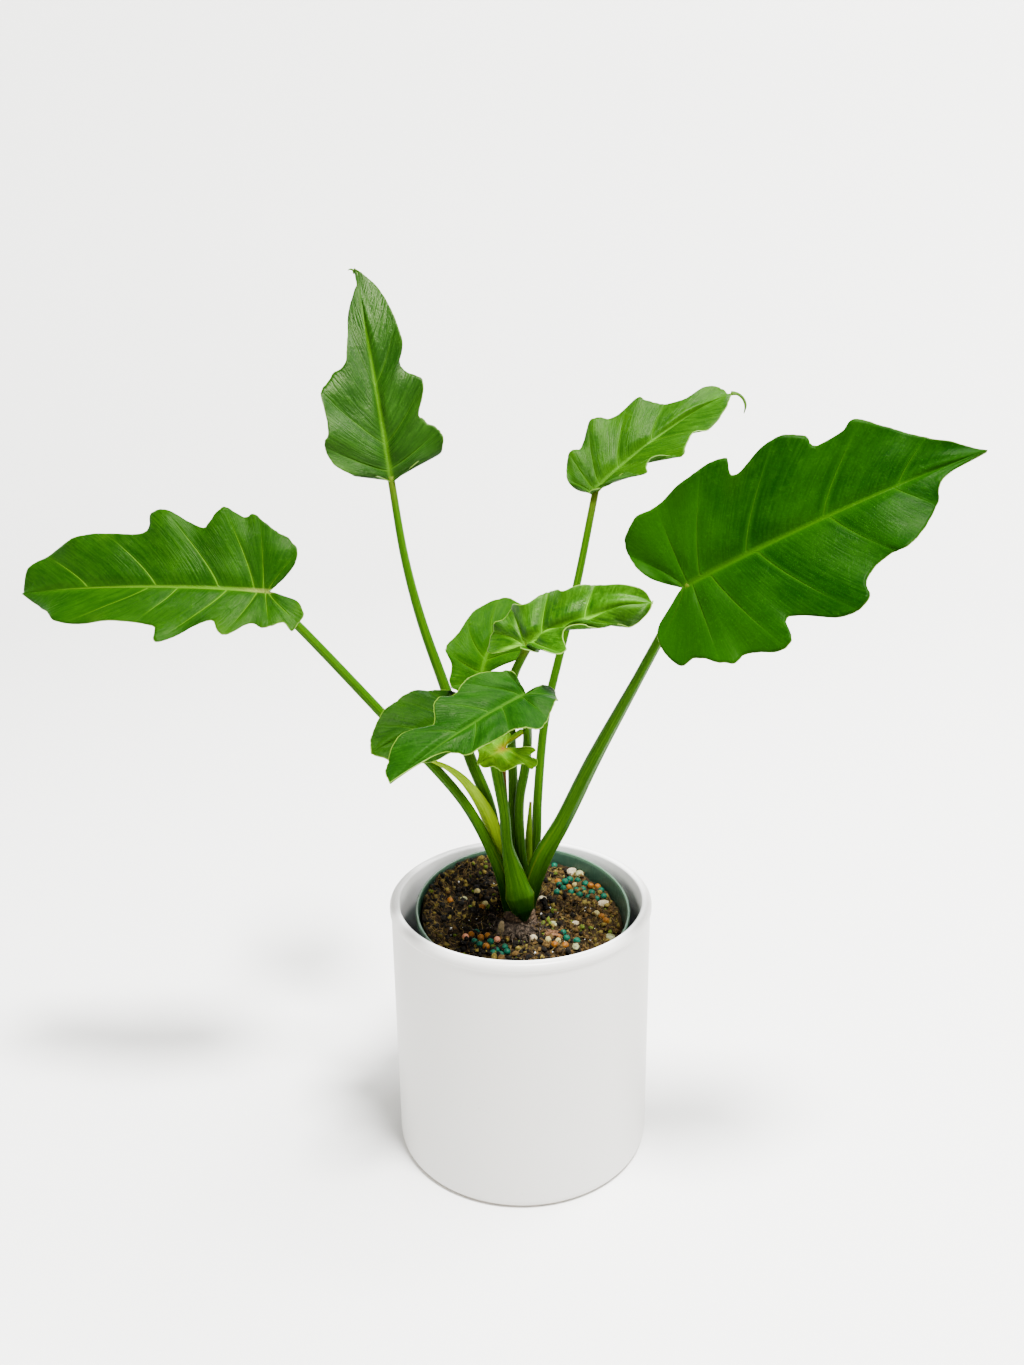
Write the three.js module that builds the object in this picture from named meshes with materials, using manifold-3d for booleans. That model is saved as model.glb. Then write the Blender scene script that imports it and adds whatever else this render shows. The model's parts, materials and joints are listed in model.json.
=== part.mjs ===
// A potted shangri-la philodendron: nine lobed leaves on long stalks, standing in a green
// nursery pot inside a white ceramic pot. Millimetres, +Z up. The origin is the centre of
// the ceramic pot's underside and -Y is the side that the plant is seen from.

import * as THREE from 'three';
import { mergeGeometries, mergeVertices } from 'three/addons/utils/BufferGeometryUtils.js';
import Module from 'manifold-3d';

const wasm = await Module();
wasm.setup();

// Driving dimensions

const GAP = 0.3; // between pieces that touch on the real thing

const CERAMIC = {
  radius: 62.5, height: 131, wall: 4.1, floor: 6, lipRound: 2, footRound: 2.2, sides: 56,
};

// The nursery pot leans in the ceramic one, by degrees forward and to the right.
const NURSERY = {
  rimRadius: 52, baseRadius: 40, baseRound: 1, wall: 1.1, flange: 1, flangeDrop: 4.5,
  floor: 1.6, rimCentre: [1, 1, 125], leanForward: 7.4, leanRight: 1, sides: 48,
};

// Soil heights and places are measured from the nursery pot's rim plane and axis.
const SOIL = {
  belowRim: 9, slopeAcross: -0.04, slopeBack: 0.04, relief: 0.7,
  rings: 7, sides: 36,
};

const PRILL_RADIUS = 1.7;

// Heaps of fertiliser prills on the soil: middle, spread and count.
const PRILL_HEAPS = [
  { x: 30, y: 26, spread: 12, count: 20 },
  { x: -17, y: -19, spread: 10, count: 15 },
  { x: 18, y: -15, spread: 8, count: 8 },
  { x: -26, y: 13, spread: 12, count: 4 },
  { x: 39, y: 3, spread: 4, count: 2 },
];

// Larger bits that lie on the soil: place, then half sizes.
const PEBBLES = [
  { at: [26, 39], size: [2.8, 2.2, 1.8] },
  { at: [30, 36.5], size: [2.6, 2.2, 2] },
  { at: [41, 15], size: [3.4, 2, 1.7] },
  { at: [42, -11], size: [2.8, 2.6, 2] },
  { at: [10, 15], size: [2.2, 2, 1.7] },
  { at: [15, -3], size: [2, 1.8, 1.6] },
  { at: [5, -14], size: [1.9, 1.9, 1.8] },
  { at: [25, -20], size: [1.9, 1.9, 1.8] },
  { at: [26, -2], size: [1.8, 1.8, 1.7] },
  { at: [-29, 14], size: [2.1, 1.5, 1.4] },
];
const BARK_CHUNK = { at: [14, -11], size: [3.2, 2.6, 2.2], turn: 25 };

// The short stem that the leaf stalks grow from, standing in the soil.
const CROWN = { x: -0.5, y: 3, bottom: 98, soilLine: 115, top: 124, radius: 8.5, sides: 20 };

const BLADE_THICKNESS = 0.9;
const BLADE_CELLS_ACROSS = 4;

// Leaf blades. A blade runs from its joint, where the stalk meets it, to its tip, and its
// upper side looks towards "faces". Each margin is a list of [out, along] between the two:
// out from the midrib and along it, with lobes behind the joint below zero. "arch" and
// "bow" bend the midrib up and sideways, "fold" turns the left and right halves up, from
// joint to tip, "droop" lets the rear lobes hang and "ripple" waves the margin. "backset"
// is the share of a margin that belongs to the rear lobes.
const BLADES = {
  leaf_left: {
    joint: [-111, 5, 282], tip: [-226, 15, 280], faces: [0.1, -0.75, 0.65],
    arch: 6, bow: 0, fold: [[12, 12], [12, 12]], droop: 0,
    ripple: { height: 1.5, step: 23, start: 0 }, backset: 0.28,
    left: [
      [2, -6], [5, -13], [12, -16], [20, -12], [17, -8], [21, 0], [19, 6], [26, 15],
      [24, 19], [18, 22], [22, 30], [28, 37], [32, 44], [23, 46], [21, 53], [20, 66],
      [20, 80], [19, 91], [13, 98], [8, 105],
    ],
    right: [
      [6, -5], [14, -10], [21, -10], [26, -5], [29, 1], [35, 9], [35, 15], [37, 23],
      [31, 28], [28, 31], [31, 38], [34, 44], [36, 50], [34, 55], [26, 56], [25, 66],
      [26, 80], [22, 92], [17, 104], [11, 112],
    ],
  },
  leaf_tall: {
    joint: [-58, 45, 324], tip: [-76, 90, 419], faces: [0.1, -0.85, 0.5],
    arch: 6, bow: 0, fold: [[14, 10], [14, 10]], droop: 5,
    ripple: { height: 1.5, step: 22, start: 0 }, backset: 0.12,
    left: [
      [6, 3], [13, 5], [18, 5], [26, 11], [29, 19], [26, 25], [26, 37], [26, 44], [20, 52],
      [13, 56], [11, 62], [9, 72], [7, 83], [3, 93], [-1, 100], [-1, 104],
    ],
    right: [
      [8, 4], [16, 8], [24, 9], [27, 13], [26, 20], [20, 25], [18, 29], [21, 36], [22, 44],
      [16, 49], [13, 54], [16, 62], [15, 74], [13, 84], [9, 96], [4, 103],
    ],
  },
  leaf_back: {
    joint: [36, 55, 316], tip: [106, 80, 360], faces: [-0.35, -0.6, 0.7],
    arch: 5, bow: 0, fold: [[15, 10], [30, 10]], droop: 3,
    ripple: { height: 0, step: 20, start: 5 }, backset: 0.12,
    left: [
      [7, -3], [14, -3], [20, 2], [23, 7], [21, 11], [25, 17], [29, 24], [27, 29], [24, 34],
      [24, 47], [20, 51], [14, 57], [9, 66], [9, 77], [6, 83], [3, 85],
    ],
    right: [
      [3, 2], [7, 7], [10, 11], [13, 16], [21, 19], [24, 22], [19, 26], [17, 31], [22, 35],
      [30, 37], [27, 41], [18, 51], [19, 58], [17, 65], [12, 74], [5, 82],
    ],
  },
  leaf_right: {
    joint: [66, -50, 295], tip: [178, -60, 349], faces: [-0.1, -0.8, 0.6],
    arch: 6, bow: 0, fold: [[10, 10], [10, 10]], droop: 0,
    ripple: { height: 0, step: 26, start: 0 }, backset: 0.24,
    left: [
      [9, -10], [19, -14], [27, -14], [33, -7], [35, 4], [38, 19], [41, 31], [38, 36],
      [32, 35], [31, 40], [35, 49], [36, 57], [30, 67], [27, 69], [28, 80], [30, 85],
      [22, 96], [13, 106], [6, 117],
    ],
    right: [
      [5, -7], [13, -15], [22, -16], [31, -12], [31, -5], [37, 2], [41, 9], [39, 14],
      [44, 24], [43, 31], [34, 32], [34, 37], [42, 50], [41, 61], [31, 65], [26, 75],
      [26, 84], [14, 99], [5, 105],
    ],
  },
  leaf_centre_right: {
    joint: [2, -15, 261], tip: [58, -20, 281], faces: [-0.15, -0.6, 0.75],
    arch: 4, bow: 0, fold: [[15, 10], [25, 5]], droop: 0,
    ripple: { height: 0, step: 18, start: 0 }, backset: 0.3,
    left: [
      [1, -10], [5, -16], [11, -13], [14, -8], [15, -4], [19, 2], [15, 8], [19, 15],
      [18, 21], [14, 25], [15, 32], [15, 38], [11, 46], [6, 56],
    ],
    right: [
      [6, 2], [9, 7], [13, 11], [17, 15], [15, 20], [8, 20], [4, 22], [5, 28], [7, 32],
      [8, 37], [10, 42], [12, 47], [9, 52], [5, 57],
    ],
  },
  leaf_centre_rear: {
    joint: [-17, 5, 238], tip: [6, 30, 262], faces: [-0.1, -0.85, 0.5],
    arch: 4, bow: -6, fold: [[10, 0], [10, 0]], droop: 0,
    ripple: { height: 0, step: 18, start: 0 }, backset: 0.2,
    left: [
      [6, -5], [12, -4], [15, -1], [14, 4], [18, 8], [19, 10], [16, 16], [16, 26], [14, 35],
      [10, 39], [5, 42],
    ],
    right: [
      [3, 4], [7, 8], [11, 11], [14, 14], [15, 18], [15, 23], [13, 27], [12, 31], [9, 35],
      [6, 38], [3, 41],
    ],
  },
  leaf_front: {
    joint: [3, -35, 246], tip: [-52, -75, 222], faces: [0, -0.6, 0.8],
    arch: 4, bow: 0, fold: [[8, 0], [8, 0]], droop: 6,
    ripple: { height: 0, step: 18, start: 0 }, backset: 0.22,
    left: [
      [0.5, -6], [0.7, -11], [4, -14], [11, -9], [12, -6], [17, 3], [20, 11], [17, 16],
      [13, 21], [13, 31], [12, 40], [7, 44], [3, 49], [1.5, 60],
    ],
    right: [
      [7, -1], [13, 0], [16, 6], [18, 18], [16, 26], [18, 33], [15, 38], [10, 42], [12, 48],
      [14, 55], [13, 60], [10, 65], [8, 68], [5, 71],
    ],
  },
  leaf_under: {
    joint: [-19, 8, 222], tip: [-64, -36, 220], faces: [0, -0.65, 0.75],
    arch: 4, bow: 0, fold: [[10, 0], [10, 0]], droop: 0,
    ripple: { height: 0, step: 18, start: 0 }, backset: 0.12,
    left: [
      [3, 4], [7, 8], [11, 12], [14, 17], [16, 22], [18, 30], [18, 39], [17, 48], [12, 55],
      [5, 61],
    ],
    right: [
      [4, -3], [9, -1], [12, 6], [15, 13], [18, 20], [19, 28], [18, 37], [15, 47], [9, 56],
      [4, 61],
    ],
  },
  leaf_young: {
    joint: [-6, -12, 212.5], tip: [-18, -26, 210], faces: [0, -0.75, 0.6],
    arch: 1, bow: 0, fold: [[6, 0], [6, 0]], droop: 0,
    ripple: { height: 0, step: 8, start: 0 }, backset: 0.34,
    left: [
      [3, -3], [5, -8], [8, -13], [9.5, -7], [14, -6], [16, -2], [12, 0], [11, 8], [8, 13],
      [4, 16],
    ],
    right: [
      [1.5, -6], [1.5, -12], [2, -17], [4.5, -16], [4, -10], [6.5, -7], [6, 2], [5.5, 8],
      [6, 13], [3, 17],
    ],
  },
};

// Leaf stalks, from the crown up: route to where each meets its blade, then half widths
// seen from the side that the sheath faces, the last at the blade, and the depth of the
// section as a share of its width at foot and top.
const STALKS = {
  stalk_centre_rear: {
    blade: 'leaf_centre_rear', faces: [0.1, -1, 0.1], depth: [0.55, 1],
    route: [
      [2, -4, 119], [1, -4, 125], [0, -3, 132], [-2, -2, 140], [-5, 0, 160], [-6, 0, 174],
      [-10, 1, 196], [-14, 3, 220],
    ],
    halfWidths: [1.6, 6.4, 7.4, 5.9, 4.2, 3.3, 3.0, 2.8, 2.2],
  },
  stalk_right: {
    blade: 'leaf_right', faces: [0.7, -0.7, 0.1], depth: [0.6, 1],
    route: [
      [5, 4, 117], [7.5, 2, 131], [11.5, 0, 150], [20, -4, 172], [33.5, -13, 206],
      [50.5, -32, 250], [60, -43, 275],
    ],
    halfWidths: [4.5, 6.4, 4.6, 3.8, 3.4, 2.3, 2.0, 1.6],
  },
  stalk_left: {
    blade: 'leaf_left', faces: [-0.7, -0.7, 0.1], depth: [0.8, 1],
    route: [
      [-4, 3, 118], [-8, 4, 136], [-13, 6, 150], [-27, 9, 177], [-65, 12, 222],
      [-100, 13, 263],
    ],
    halfWidths: [4.0, 3.4, 2.8, 2.4, 2.3, 2.1, 1.8],
  },
  stalk_young: {
    blade: 'leaf_young', faces: [0, -1, 0], depth: [1, 1],
    route: [
      [-2, 7, 124], [-4, 7, 142], [-6, 7, 160], [-7, 5, 180], [-7.5, 4, 190],
      [-7.5, -5, 207],
    ],
    halfWidths: [1.8, 1.7, 1.6, 1.5, 1.5, 1.4, 1.2],
  },
  stalk_front: {
    blade: 'leaf_front', faces: [0.2, 1, 0], depth: [0.9, 1],
    route: [
      [2, 9, 120], [1.5, 12, 135], [0, 11, 155], [0, 6, 178], [3, 1, 198], [4, -7, 218],
    ],
    halfWidths: [3.4, 2.9, 2.6, 2.4, 2.3, 2.1, 1.8],
  },
  stalk_centre_right: {
    blade: 'leaf_centre_right', faces: [-0.2, 1, 0], depth: [0.9, 1],
    route: [
      [-3, 9, 120], [-3, 13, 135], [-3, 13, 150], [-3, 11, 171], [-3, 8, 193],
      [-3.5, 3, 214], [-2.5, -7, 243],
    ],
    halfWidths: [3.2, 2.8, 2.6, 2.4, 2.3, 2.2, 2.1, 1.8],
  },
  stalk_tall: {
    blade: 'leaf_tall', faces: [-0.5, 0.8, 0], depth: [0.8, 1],
    route: [
      [-5, 9, 118], [-9, 14, 136], [-15, 20, 170], [-23.5, 25, 192], [-35.5, 31, 228],
      [-46, 36, 260], [-53, 41, 289],
    ],
    halfWidths: [3.8, 3.4, 3.1, 2.9, 2.6, 2.3, 2.0, 1.7],
  },
  stalk_back: {
    blade: 'leaf_back', faces: [0.6, 0.8, 0], depth: [0.8, 1],
    route: [
      [4, 9, 118], [5.5, 16, 137], [8, 19, 151], [9, 22, 171], [13, 30, 210],
      [21, 37, 243], [29, 44, 274],
    ],
    halfWidths: [3.6, 3.0, 2.6, 2.3, 2.1, 2.0, 1.9, 1.7],
  },
  stalk_under: {
    blade: 'leaf_under', faces: [-0.3, 1, 0], depth: [0.9, 1],
    route: [
      [-5, 9, 122], [-6, 12, 140], [-7, 13, 168], [-10.5, 13, 190], [-13.5, 12, 204],
    ],
    halfWidths: [2.6, 2.4, 2.2, 2.1, 2.0, 1.7],
  },
};

// Sheathing scale leaves that stand among the stalks.
const CATAPHYLLS = {
  cataphyll_large: {
    faces: [-0.5, -0.8, 0.3], depth: [0.45, 0.35],
    route: [
      [-6, 8, 122], [-9, 10, 144], [-15, 10, 168], [-25, 9, 186], [-33, 8, 194],
      [-41, 6, 199],
    ],
    halfWidths: [3.6, 4.6, 4.4, 2.6, 1.6, 0.8],
  },
  cataphyll_small: {
    faces: [0.4, 0.9, 0], depth: [0.6, 0.6],
    route: [[3, 11, 122], [4, 15, 138], [4.5, 16, 156], [5.5, 18, 172]],
    halfWidths: [2.4, 2.2, 1.8, 0.7],
  },
};

const STALK_SIDES = 8;
const STALK_STEPS = 14;
const SEAT_AHEAD = 3; // of the joint, under the midrib, where a stalk ends
const SEAT_SINK = 0.6; // of its half width, up to the blade's mid plane

// Materials

function paint(colour, roughness, metalness = 0) {
  return new THREE.MeshStandardMaterial({ color: colour, roughness, metalness });
}

const FINISHES = {
  ceramic: paint(0xf1f1ef, 0.35),
  nursery: paint(0x2f5a43, 0.55),
  soil: paint(0x2c2018, 0.95),
  crown: paint(0x6a4f38, 0.9),
  leaf: paint(0x2f7d1f, 0.35),
  leafBright: paint(0x55a516, 0.4),
  leafYoung: paint(0x9cc21a, 0.45),
  stalk: paint(0x3f7d22, 0.45),
  cataphyll: paint(0x8fb62a, 0.5),
};

// Solids

function positionsOnly(geometry) {
  const plain = geometry.clone();
  plain.deleteAttribute('normal');
  plain.deleteAttribute('uv');
  return mergeVertices(plain, 1e-4);
}

// Joins equal points and drops the faces that this leaves without an area.
function closed(geometry) {
  const merged = positionsOnly(geometry);
  const index = merged.index.array;
  const kept = [];
  for (let i = 0; i < index.length; i += 3) {
    const [a, b, c] = [index[i], index[i + 1], index[i + 2]];
    if (a !== b && b !== c && c !== a) kept.push(a, b, c);
  }
  merged.setIndex(kept);
  return merged;
}

function toSolid(geometry) {
  const merged = closed(geometry);
  return new wasm.Manifold(new wasm.Mesh({
    numProp: 3,
    vertProperties: new Float32Array(merged.attributes.position.array),
    triVerts: new Uint32Array(merged.index.array),
  }));
}

function toGeometry(solid) {
  const mesh = solid.getMesh();
  const geometry = new THREE.BufferGeometry();
  geometry.setAttribute('position', new THREE.BufferAttribute(mesh.vertProperties, 3));
  geometry.setIndex(new THREE.BufferAttribute(mesh.triVerts, 1));
  return geometry;
}

function largestPart(solid) {
  const parts = solid.decompose();
  return parts.reduce((best, part) => (part.volume() > best.volume() ? part : best));
}

function noise(n) {
  const x = Math.sin(n * 12.9898) * 43758.5453;
  return x - Math.floor(x);
}

function facing(front, along) {
  const wanted = new THREE.Vector3(...front);
  return wanted.addScaledVector(along, -wanted.dot(along)).normalize();
}

// Pots

function ceramicProfile() {
  const { radius, height, wall, floor, lipRound, footRound } = CERAMIC;
  const inner = radius - wall;
  const shape = new THREE.Path();
  shape.moveTo(0, 0);
  shape.lineTo(radius - footRound, 0);
  shape.quadraticCurveTo(radius, 0, radius, footRound);
  shape.lineTo(radius, height - lipRound);
  shape.quadraticCurveTo(radius, height, radius - lipRound, height);
  shape.quadraticCurveTo(inner, height, inner, height - lipRound);
  shape.lineTo(inner, floor + footRound);
  shape.quadraticCurveTo(inner, floor, inner - footRound, floor);
  shape.lineTo(0, floor);
  return shape.getPoints(2);
}

function upright(geometry) {
  return geometry.rotateX(Math.PI / 2);
}

function ceramicPot() {
  return upright(new THREE.LatheGeometry(ceramicProfile(), CERAMIC.sides));
}

const LEAN = THREE.MathUtils.degToRad(NURSERY.leanForward);
const LEAN_RIGHT = THREE.MathUtils.degToRad(NURSERY.leanRight);

// The pot is as deep as brings the front of its leaning base to the ceramic pot's floor.
const TILT = Math.acos(Math.cos(LEAN) * Math.cos(LEAN_RIGHT));
const NURSERY_HEIGHT = (NURSERY.rimCentre[2] - CERAMIC.floor - GAP
  - (NURSERY.baseRadius - NURSERY.baseRound) * Math.sin(TILT)) / Math.cos(TILT);

function lean(geometry) {
  return geometry.rotateY(LEAN_RIGHT).rotateX(LEAN).translate(...NURSERY.rimCentre);
}

function nurseryInnerRadius(below) {
  const share = Math.max(0, below) / NURSERY_HEIGHT;
  const body = NURSERY.rimRadius - NURSERY.flange;
  return body + (NURSERY.baseRadius - body) * share - NURSERY.wall;
}

function nurseryPot() {
  const { rimRadius, baseRadius, baseRound, wall, flange, flangeDrop, floor } = NURSERY;
  const body = rimRadius - flange;
  const drop = -flangeDrop;
  const bottom = -NURSERY_HEIGHT;
  const profile = [
    [0, bottom], [baseRadius - baseRound, bottom], [baseRadius, bottom + baseRound],
    [body, drop - 0.8], [rimRadius - 0.2, drop], [rimRadius, -0.5], [rimRadius - 0.5, 0],
    [rimRadius - wall, -0.4], [body - wall, drop - 1.6],
    [baseRadius - wall, bottom + floor], [0, bottom + floor],
  ].map(([r, z]) => new THREE.Vector2(r, z));
  return lean(upright(new THREE.LatheGeometry(profile, NURSERY.sides)));
}

// Soil

function soilTop(x, y) {
  const plane = -SOIL.belowRim + SOIL.slopeAcross * x + SOIL.slopeBack * y;
  const bumps = Math.sin(x * 0.31 + 1.3) * Math.cos(y * 0.27)
    + 0.6 * Math.sin(x * 0.71 + y * 0.53) + 0.4 * Math.cos(x * 0.9 - y * 1.1);
  return plane + SOIL.relief * bumps;
}

function soilBody() {
  const bottom = -NURSERY_HEIGHT + NURSERY.floor + GAP;
  const profile = [[0, bottom], [nurseryInnerRadius(-bottom) - GAP, bottom]];
  for (let ring = SOIL.rings; ring >= 0; ring -= 1) profile.push([ring / SOIL.rings, 0]);
  const points = profile.map(([r, z]) => new THREE.Vector2(r, z));
  const geometry = upright(new THREE.LatheGeometry(points, SOIL.sides));
  const place = geometry.attributes.position;
  for (let i = 0; i < place.count; i += 1) {
    if (place.getZ(i) > -1) {
      const share = Math.hypot(place.getX(i), place.getY(i));
      const angle = Math.atan2(place.getY(i), place.getX(i));
      const edge = nurseryInnerRadius(SOIL.belowRim + 4) - GAP;
      const x = edge * share * Math.cos(angle);
      const y = edge * share * Math.sin(angle);
      place.setXYZ(i, x, y, soilTop(x, y));
    }
  }
  return geometry;
}

function lump(size, x, y, turn, sunk) {
  const shape = new THREE.IcosahedronGeometry(1, 0);
  shape.scale(...size).rotateZ(turn);
  return shape.translate(x, y, soilTop(x, y) + size[2] * sunk);
}

function soilLumps() {
  const lumps = [];
  let draw = 1;
  PRILL_HEAPS.forEach((heap) => {
    for (let i = 0; i < heap.count; i += 1) {
      const angle = noise(draw) * Math.PI * 2;
      const reach = Math.sqrt(noise(draw + 0.5)) * heap.spread;
      draw += 1;
      const size = [PRILL_RADIUS, PRILL_RADIUS, PRILL_RADIUS];
      const x = heap.x + reach * Math.cos(angle);
      const y = heap.y + reach * Math.sin(angle);
      lumps.push(lump(size, x, y, angle, 0.25));
    }
  });
  PEBBLES.forEach(({ at, size }) => lumps.push(lump(size, at[0], at[1], at[0], 0.2)));
  const turn = THREE.MathUtils.degToRad(BARK_CHUNK.turn);
  lumps.push(lump(BARK_CHUNK.size, BARK_CHUNK.at[0], BARK_CHUNK.at[1], turn, 0.2));
  return lumps;
}

function crownBody(grow) {
  const { x, y, bottom, soilLine, top, radius, sides } = CROWN;
  const profile = [
    [0, bottom], [radius * 0.7, bottom], [radius * 0.95, soilLine - 4], [radius, soilLine],
    [radius * 0.85, top - 3], [radius * 0.5, top], [0, top],
  ].map(([r, z]) => {
    const level = z === bottom ? z - grow : z + grow;
    return new THREE.Vector2(r > 0 ? r + grow : 0, level);
  });
  return upright(new THREE.LatheGeometry(profile, sides)).translate(x, y, 0);
}

function soil(crownRoom) {
  let solid = toSolid(lean(soilBody()));
  soilLumps().forEach((shape) => {
    solid = solid.add(toSolid(lean(shape)));
  });
  return toGeometry(largestPart(solid.subtract(crownRoom)));
}

// Stalks and scale leaves

// A stalk ends under its blade's midrib.
function stalkRoute(spec) {
  const points = spec.route.map((p) => new THREE.Vector3(...p));
  if (spec.blade) {
    const frame = bladeFrame(BLADES[spec.blade]);
    const seat = bladePoint(frame, 1, 0, SEAT_AHEAD);
    points.push(seat.addScaledVector(frame.up, -SEAT_SINK * spec.halfWidths.at(-1)));
  }
  return new THREE.CatmullRomCurve3(points);
}

function stalk(spec, grow = 0) {
  const route = stalkRoute(spec);
  const last = route.points.length - 1;
  const geometry = new THREE.CylinderGeometry(1, 1, 1, STALK_SIDES, STALK_STEPS);
  const place = geometry.attributes.position;
  for (let i = 0; i < place.count; i += 1) {
    const share = place.getY(i) + 0.5;
    const along = route.getTangent(share);
    const front = facing(spec.faces, along);
    const side = new THREE.Vector3().crossVectors(along, front);
    const knot = Math.min(last - 1, Math.floor(share * last));
    const [from, to] = [spec.halfWidths[knot], spec.halfWidths[knot + 1]];
    const width = from + (to - from) * (share * last - knot);
    const flat = spec.depth[0] + (spec.depth[1] - spec.depth[0]) * Math.min(1, share * 2);
    const centre = route.getPoint(share).addScaledVector(along, (share * 2 - 1) * grow);
    centre.addScaledVector(side, place.getX(i) * (width + grow));
    centre.addScaledVector(front, place.getZ(i) * (width * flat + grow));
    place.setXYZ(i, ...centre.toArray());
  }
  return geometry;
}

// Blades

function bladeFrame(spec) {
  const joint = new THREE.Vector3(...spec.joint);
  const tip = new THREE.Vector3(...spec.tip);
  const along = tip.clone().sub(joint);
  const length = along.length();
  along.normalize();
  const up = facing(spec.faces, along);
  const across = new THREE.Vector3().crossVectors(along, up);
  const control = joint.clone().add(tip).multiplyScalar(0.5);
  control.addScaledVector(up, 2 * spec.arch).addScaledVector(across, 2 * spec.bow);
  const midrib = new THREE.QuadraticBezierCurve3(joint, control, tip);
  return { spec, length, up, midrib, joint };
}

// A point of the blade from its distances out from the midrib and along it.
function bladePoint(frame, side, out, distance) {
  const { spec, length, up, midrib, joint } = frame;
  const share = distance / length;
  const inside = THREE.MathUtils.clamp(share, 0, 1);
  const tangent = midrib.getTangent(inside);
  const normal = up.clone().addScaledVector(tangent, -up.dot(tangent)).normalize();
  const across = new THREE.Vector3().crossVectors(tangent, normal);
  const [from, to] = spec.fold[side < 0 ? 0 : 1];
  const fold = THREE.MathUtils.degToRad(from + (to - from) * inside);
  const rise = out / (length * 0.3);
  const back = Math.max(0, -distance) / (length * 0.3);
  const { height, step, start } = spec.ripple;
  const wave = Math.cos((2 * Math.PI * (distance - start)) / step);
  const lift = height * rise * rise * wave - spec.droop * back * back;
  const point = share < 0
    ? joint.clone().addScaledVector(midrib.getPoint(0.001).sub(joint), share / 0.001)
    : midrib.getPoint(inside);
  point.addScaledVector(across, side * out * Math.cos(fold));
  return point.addScaledVector(normal, out * Math.sin(fold) + lift);
}

// How far along the midrib the lateral vein starts that ends at this share of the margin.
function veinFoot(frame, share) {
  const { backset } = frame.spec;
  const forward = Math.max(0, share - backset) / (1 - backset);
  return frame.length * (0.1 * share + 0.9 * forward ** 1.9);
}

function bladeSurface(frame, margins, side, share, outward) {
  const margin = margins[side < 0 ? 'left' : 'right'].getPoint(share);
  const foot = veinFoot(frame, share);
  const along = foot + (margin.y - foot) * outward ** 1.25;
  return bladePoint(frame, side, margin.x * outward, along);
}

function marginCurve(frame, points) {
  const whole = [[0, 0], ...points, [0, frame.length]];
  return new THREE.SplineCurve(whole.map((p) => new THREE.Vector2(...p)));
}

function blade(spec, thickness = BLADE_THICKNESS) {
  const frame = bladeFrame(spec);
  const margins = {
    left: marginCurve(frame, spec.left),
    right: marginCurve(frame, spec.right),
  };
  const rows = spec.left.length + 1;
  const cells = BLADE_CELLS_ACROSS;

  // Both faces and the rim between them share their corners exactly.
  const corner = (row, across, level) => {
    const side = across < 0 ? -1 : 1;
    const point = bladeSurface(frame, margins, side, row / rows, Math.abs(across));
    return point.addScaledVector(frame.up, (level * thickness) / 2);
  };

  const face = (level) => {
    const sheet = new THREE.PlaneGeometry(2, 1, 2 * cells, rows);
    const place = sheet.attributes.position;
    for (let i = 0; i < place.count; i += 1) {
      const across = Math.round(place.getX(i) * cells) / cells;
      const row = Math.round((place.getY(i) + 0.5) * rows);
      place.setXYZ(i, ...corner(row, across, level).toArray());
    }
    return sheet;
  };
  const upper = face(1);
  const lower = face(-1);
  const turned = [];
  for (let i = 0; i < lower.index.count; i += 3) {
    turned.push(lower.index.getX(i), lower.index.getX(i + 2), lower.index.getX(i + 1));
  }
  lower.setIndex(turned);

  const edges = [-1, 1].map((side) => {
    const edge = new THREE.PlaneGeometry(1, 1, rows, 1);
    const place = edge.attributes.position;
    for (let i = 0; i < place.count; i += 1) {
      const row = Math.round((0.5 + side * place.getX(i)) * rows);
      place.setXYZ(i, ...corner(row, side, Math.sign(place.getY(i))).toArray());
    }
    return edge;
  });
  return mergeGeometries([upper, lower, ...edges]);
}

// Assembly

const plant = new THREE.Group();

function addPiece(name, geometry, finish) {
  const piece = new THREE.Mesh(geometry, FINISHES[finish]);
  piece.name = name;
  plant.add(piece);
}

const BLADE_FINISHES = {
  leaf_centre_right: 'leafBright', leaf_centre_rear: 'leafBright', leaf_young: 'leafYoung',
};

addPiece('ceramic_pot', closed(ceramicPot()), 'ceramic');
addPiece('nursery_pot', closed(nurseryPot()), 'nursery');
const crownRoom = toSolid(crownBody(GAP));
addPiece('soil', soil(crownRoom), 'soil');
addPiece('crown', closed(crownBody(0)), 'crown');

Object.entries(BLADES).forEach(([name, spec]) => {
  addPiece(name, closed(blade(spec)), BLADE_FINISHES[name] || 'leaf');
});

// Each stalk keeps clear of the soil, the crown, its own blade and the stalks before it.
const soilRoom = toSolid(lean(soilBody()).translate(0, 0, GAP));
const taken = [crownRoom, soilRoom];
Object.entries({ ...STALKS, ...CATAPHYLLS }).forEach(([name, spec]) => {
  let solid = toSolid(stalk(spec));
  taken.forEach((room) => {
    solid = solid.subtract(room);
  });
  if (spec.blade) {
    solid = solid.subtract(toSolid(blade(BLADES[spec.blade], BLADE_THICKNESS + 2 * GAP)));
  }
  addPiece(name, toGeometry(largestPart(solid)), spec.blade ? 'stalk' : 'cataphyll');
  taken.push(toSolid(stalk(spec, GAP)));
});

export default plant;
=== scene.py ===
"""A potted shangri-la philodendron: lobed glossy leaves on long stalks, in a green nursery
pot that leans in a white ceramic pot. Metres, +Z up, seen from -Y. Lengths in the tables
are in millimetres, as the solids' driving dimensions are."""

import json
import math
import random

import bmesh
import bpy
from mathutils import Matrix, Vector, noise

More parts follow.
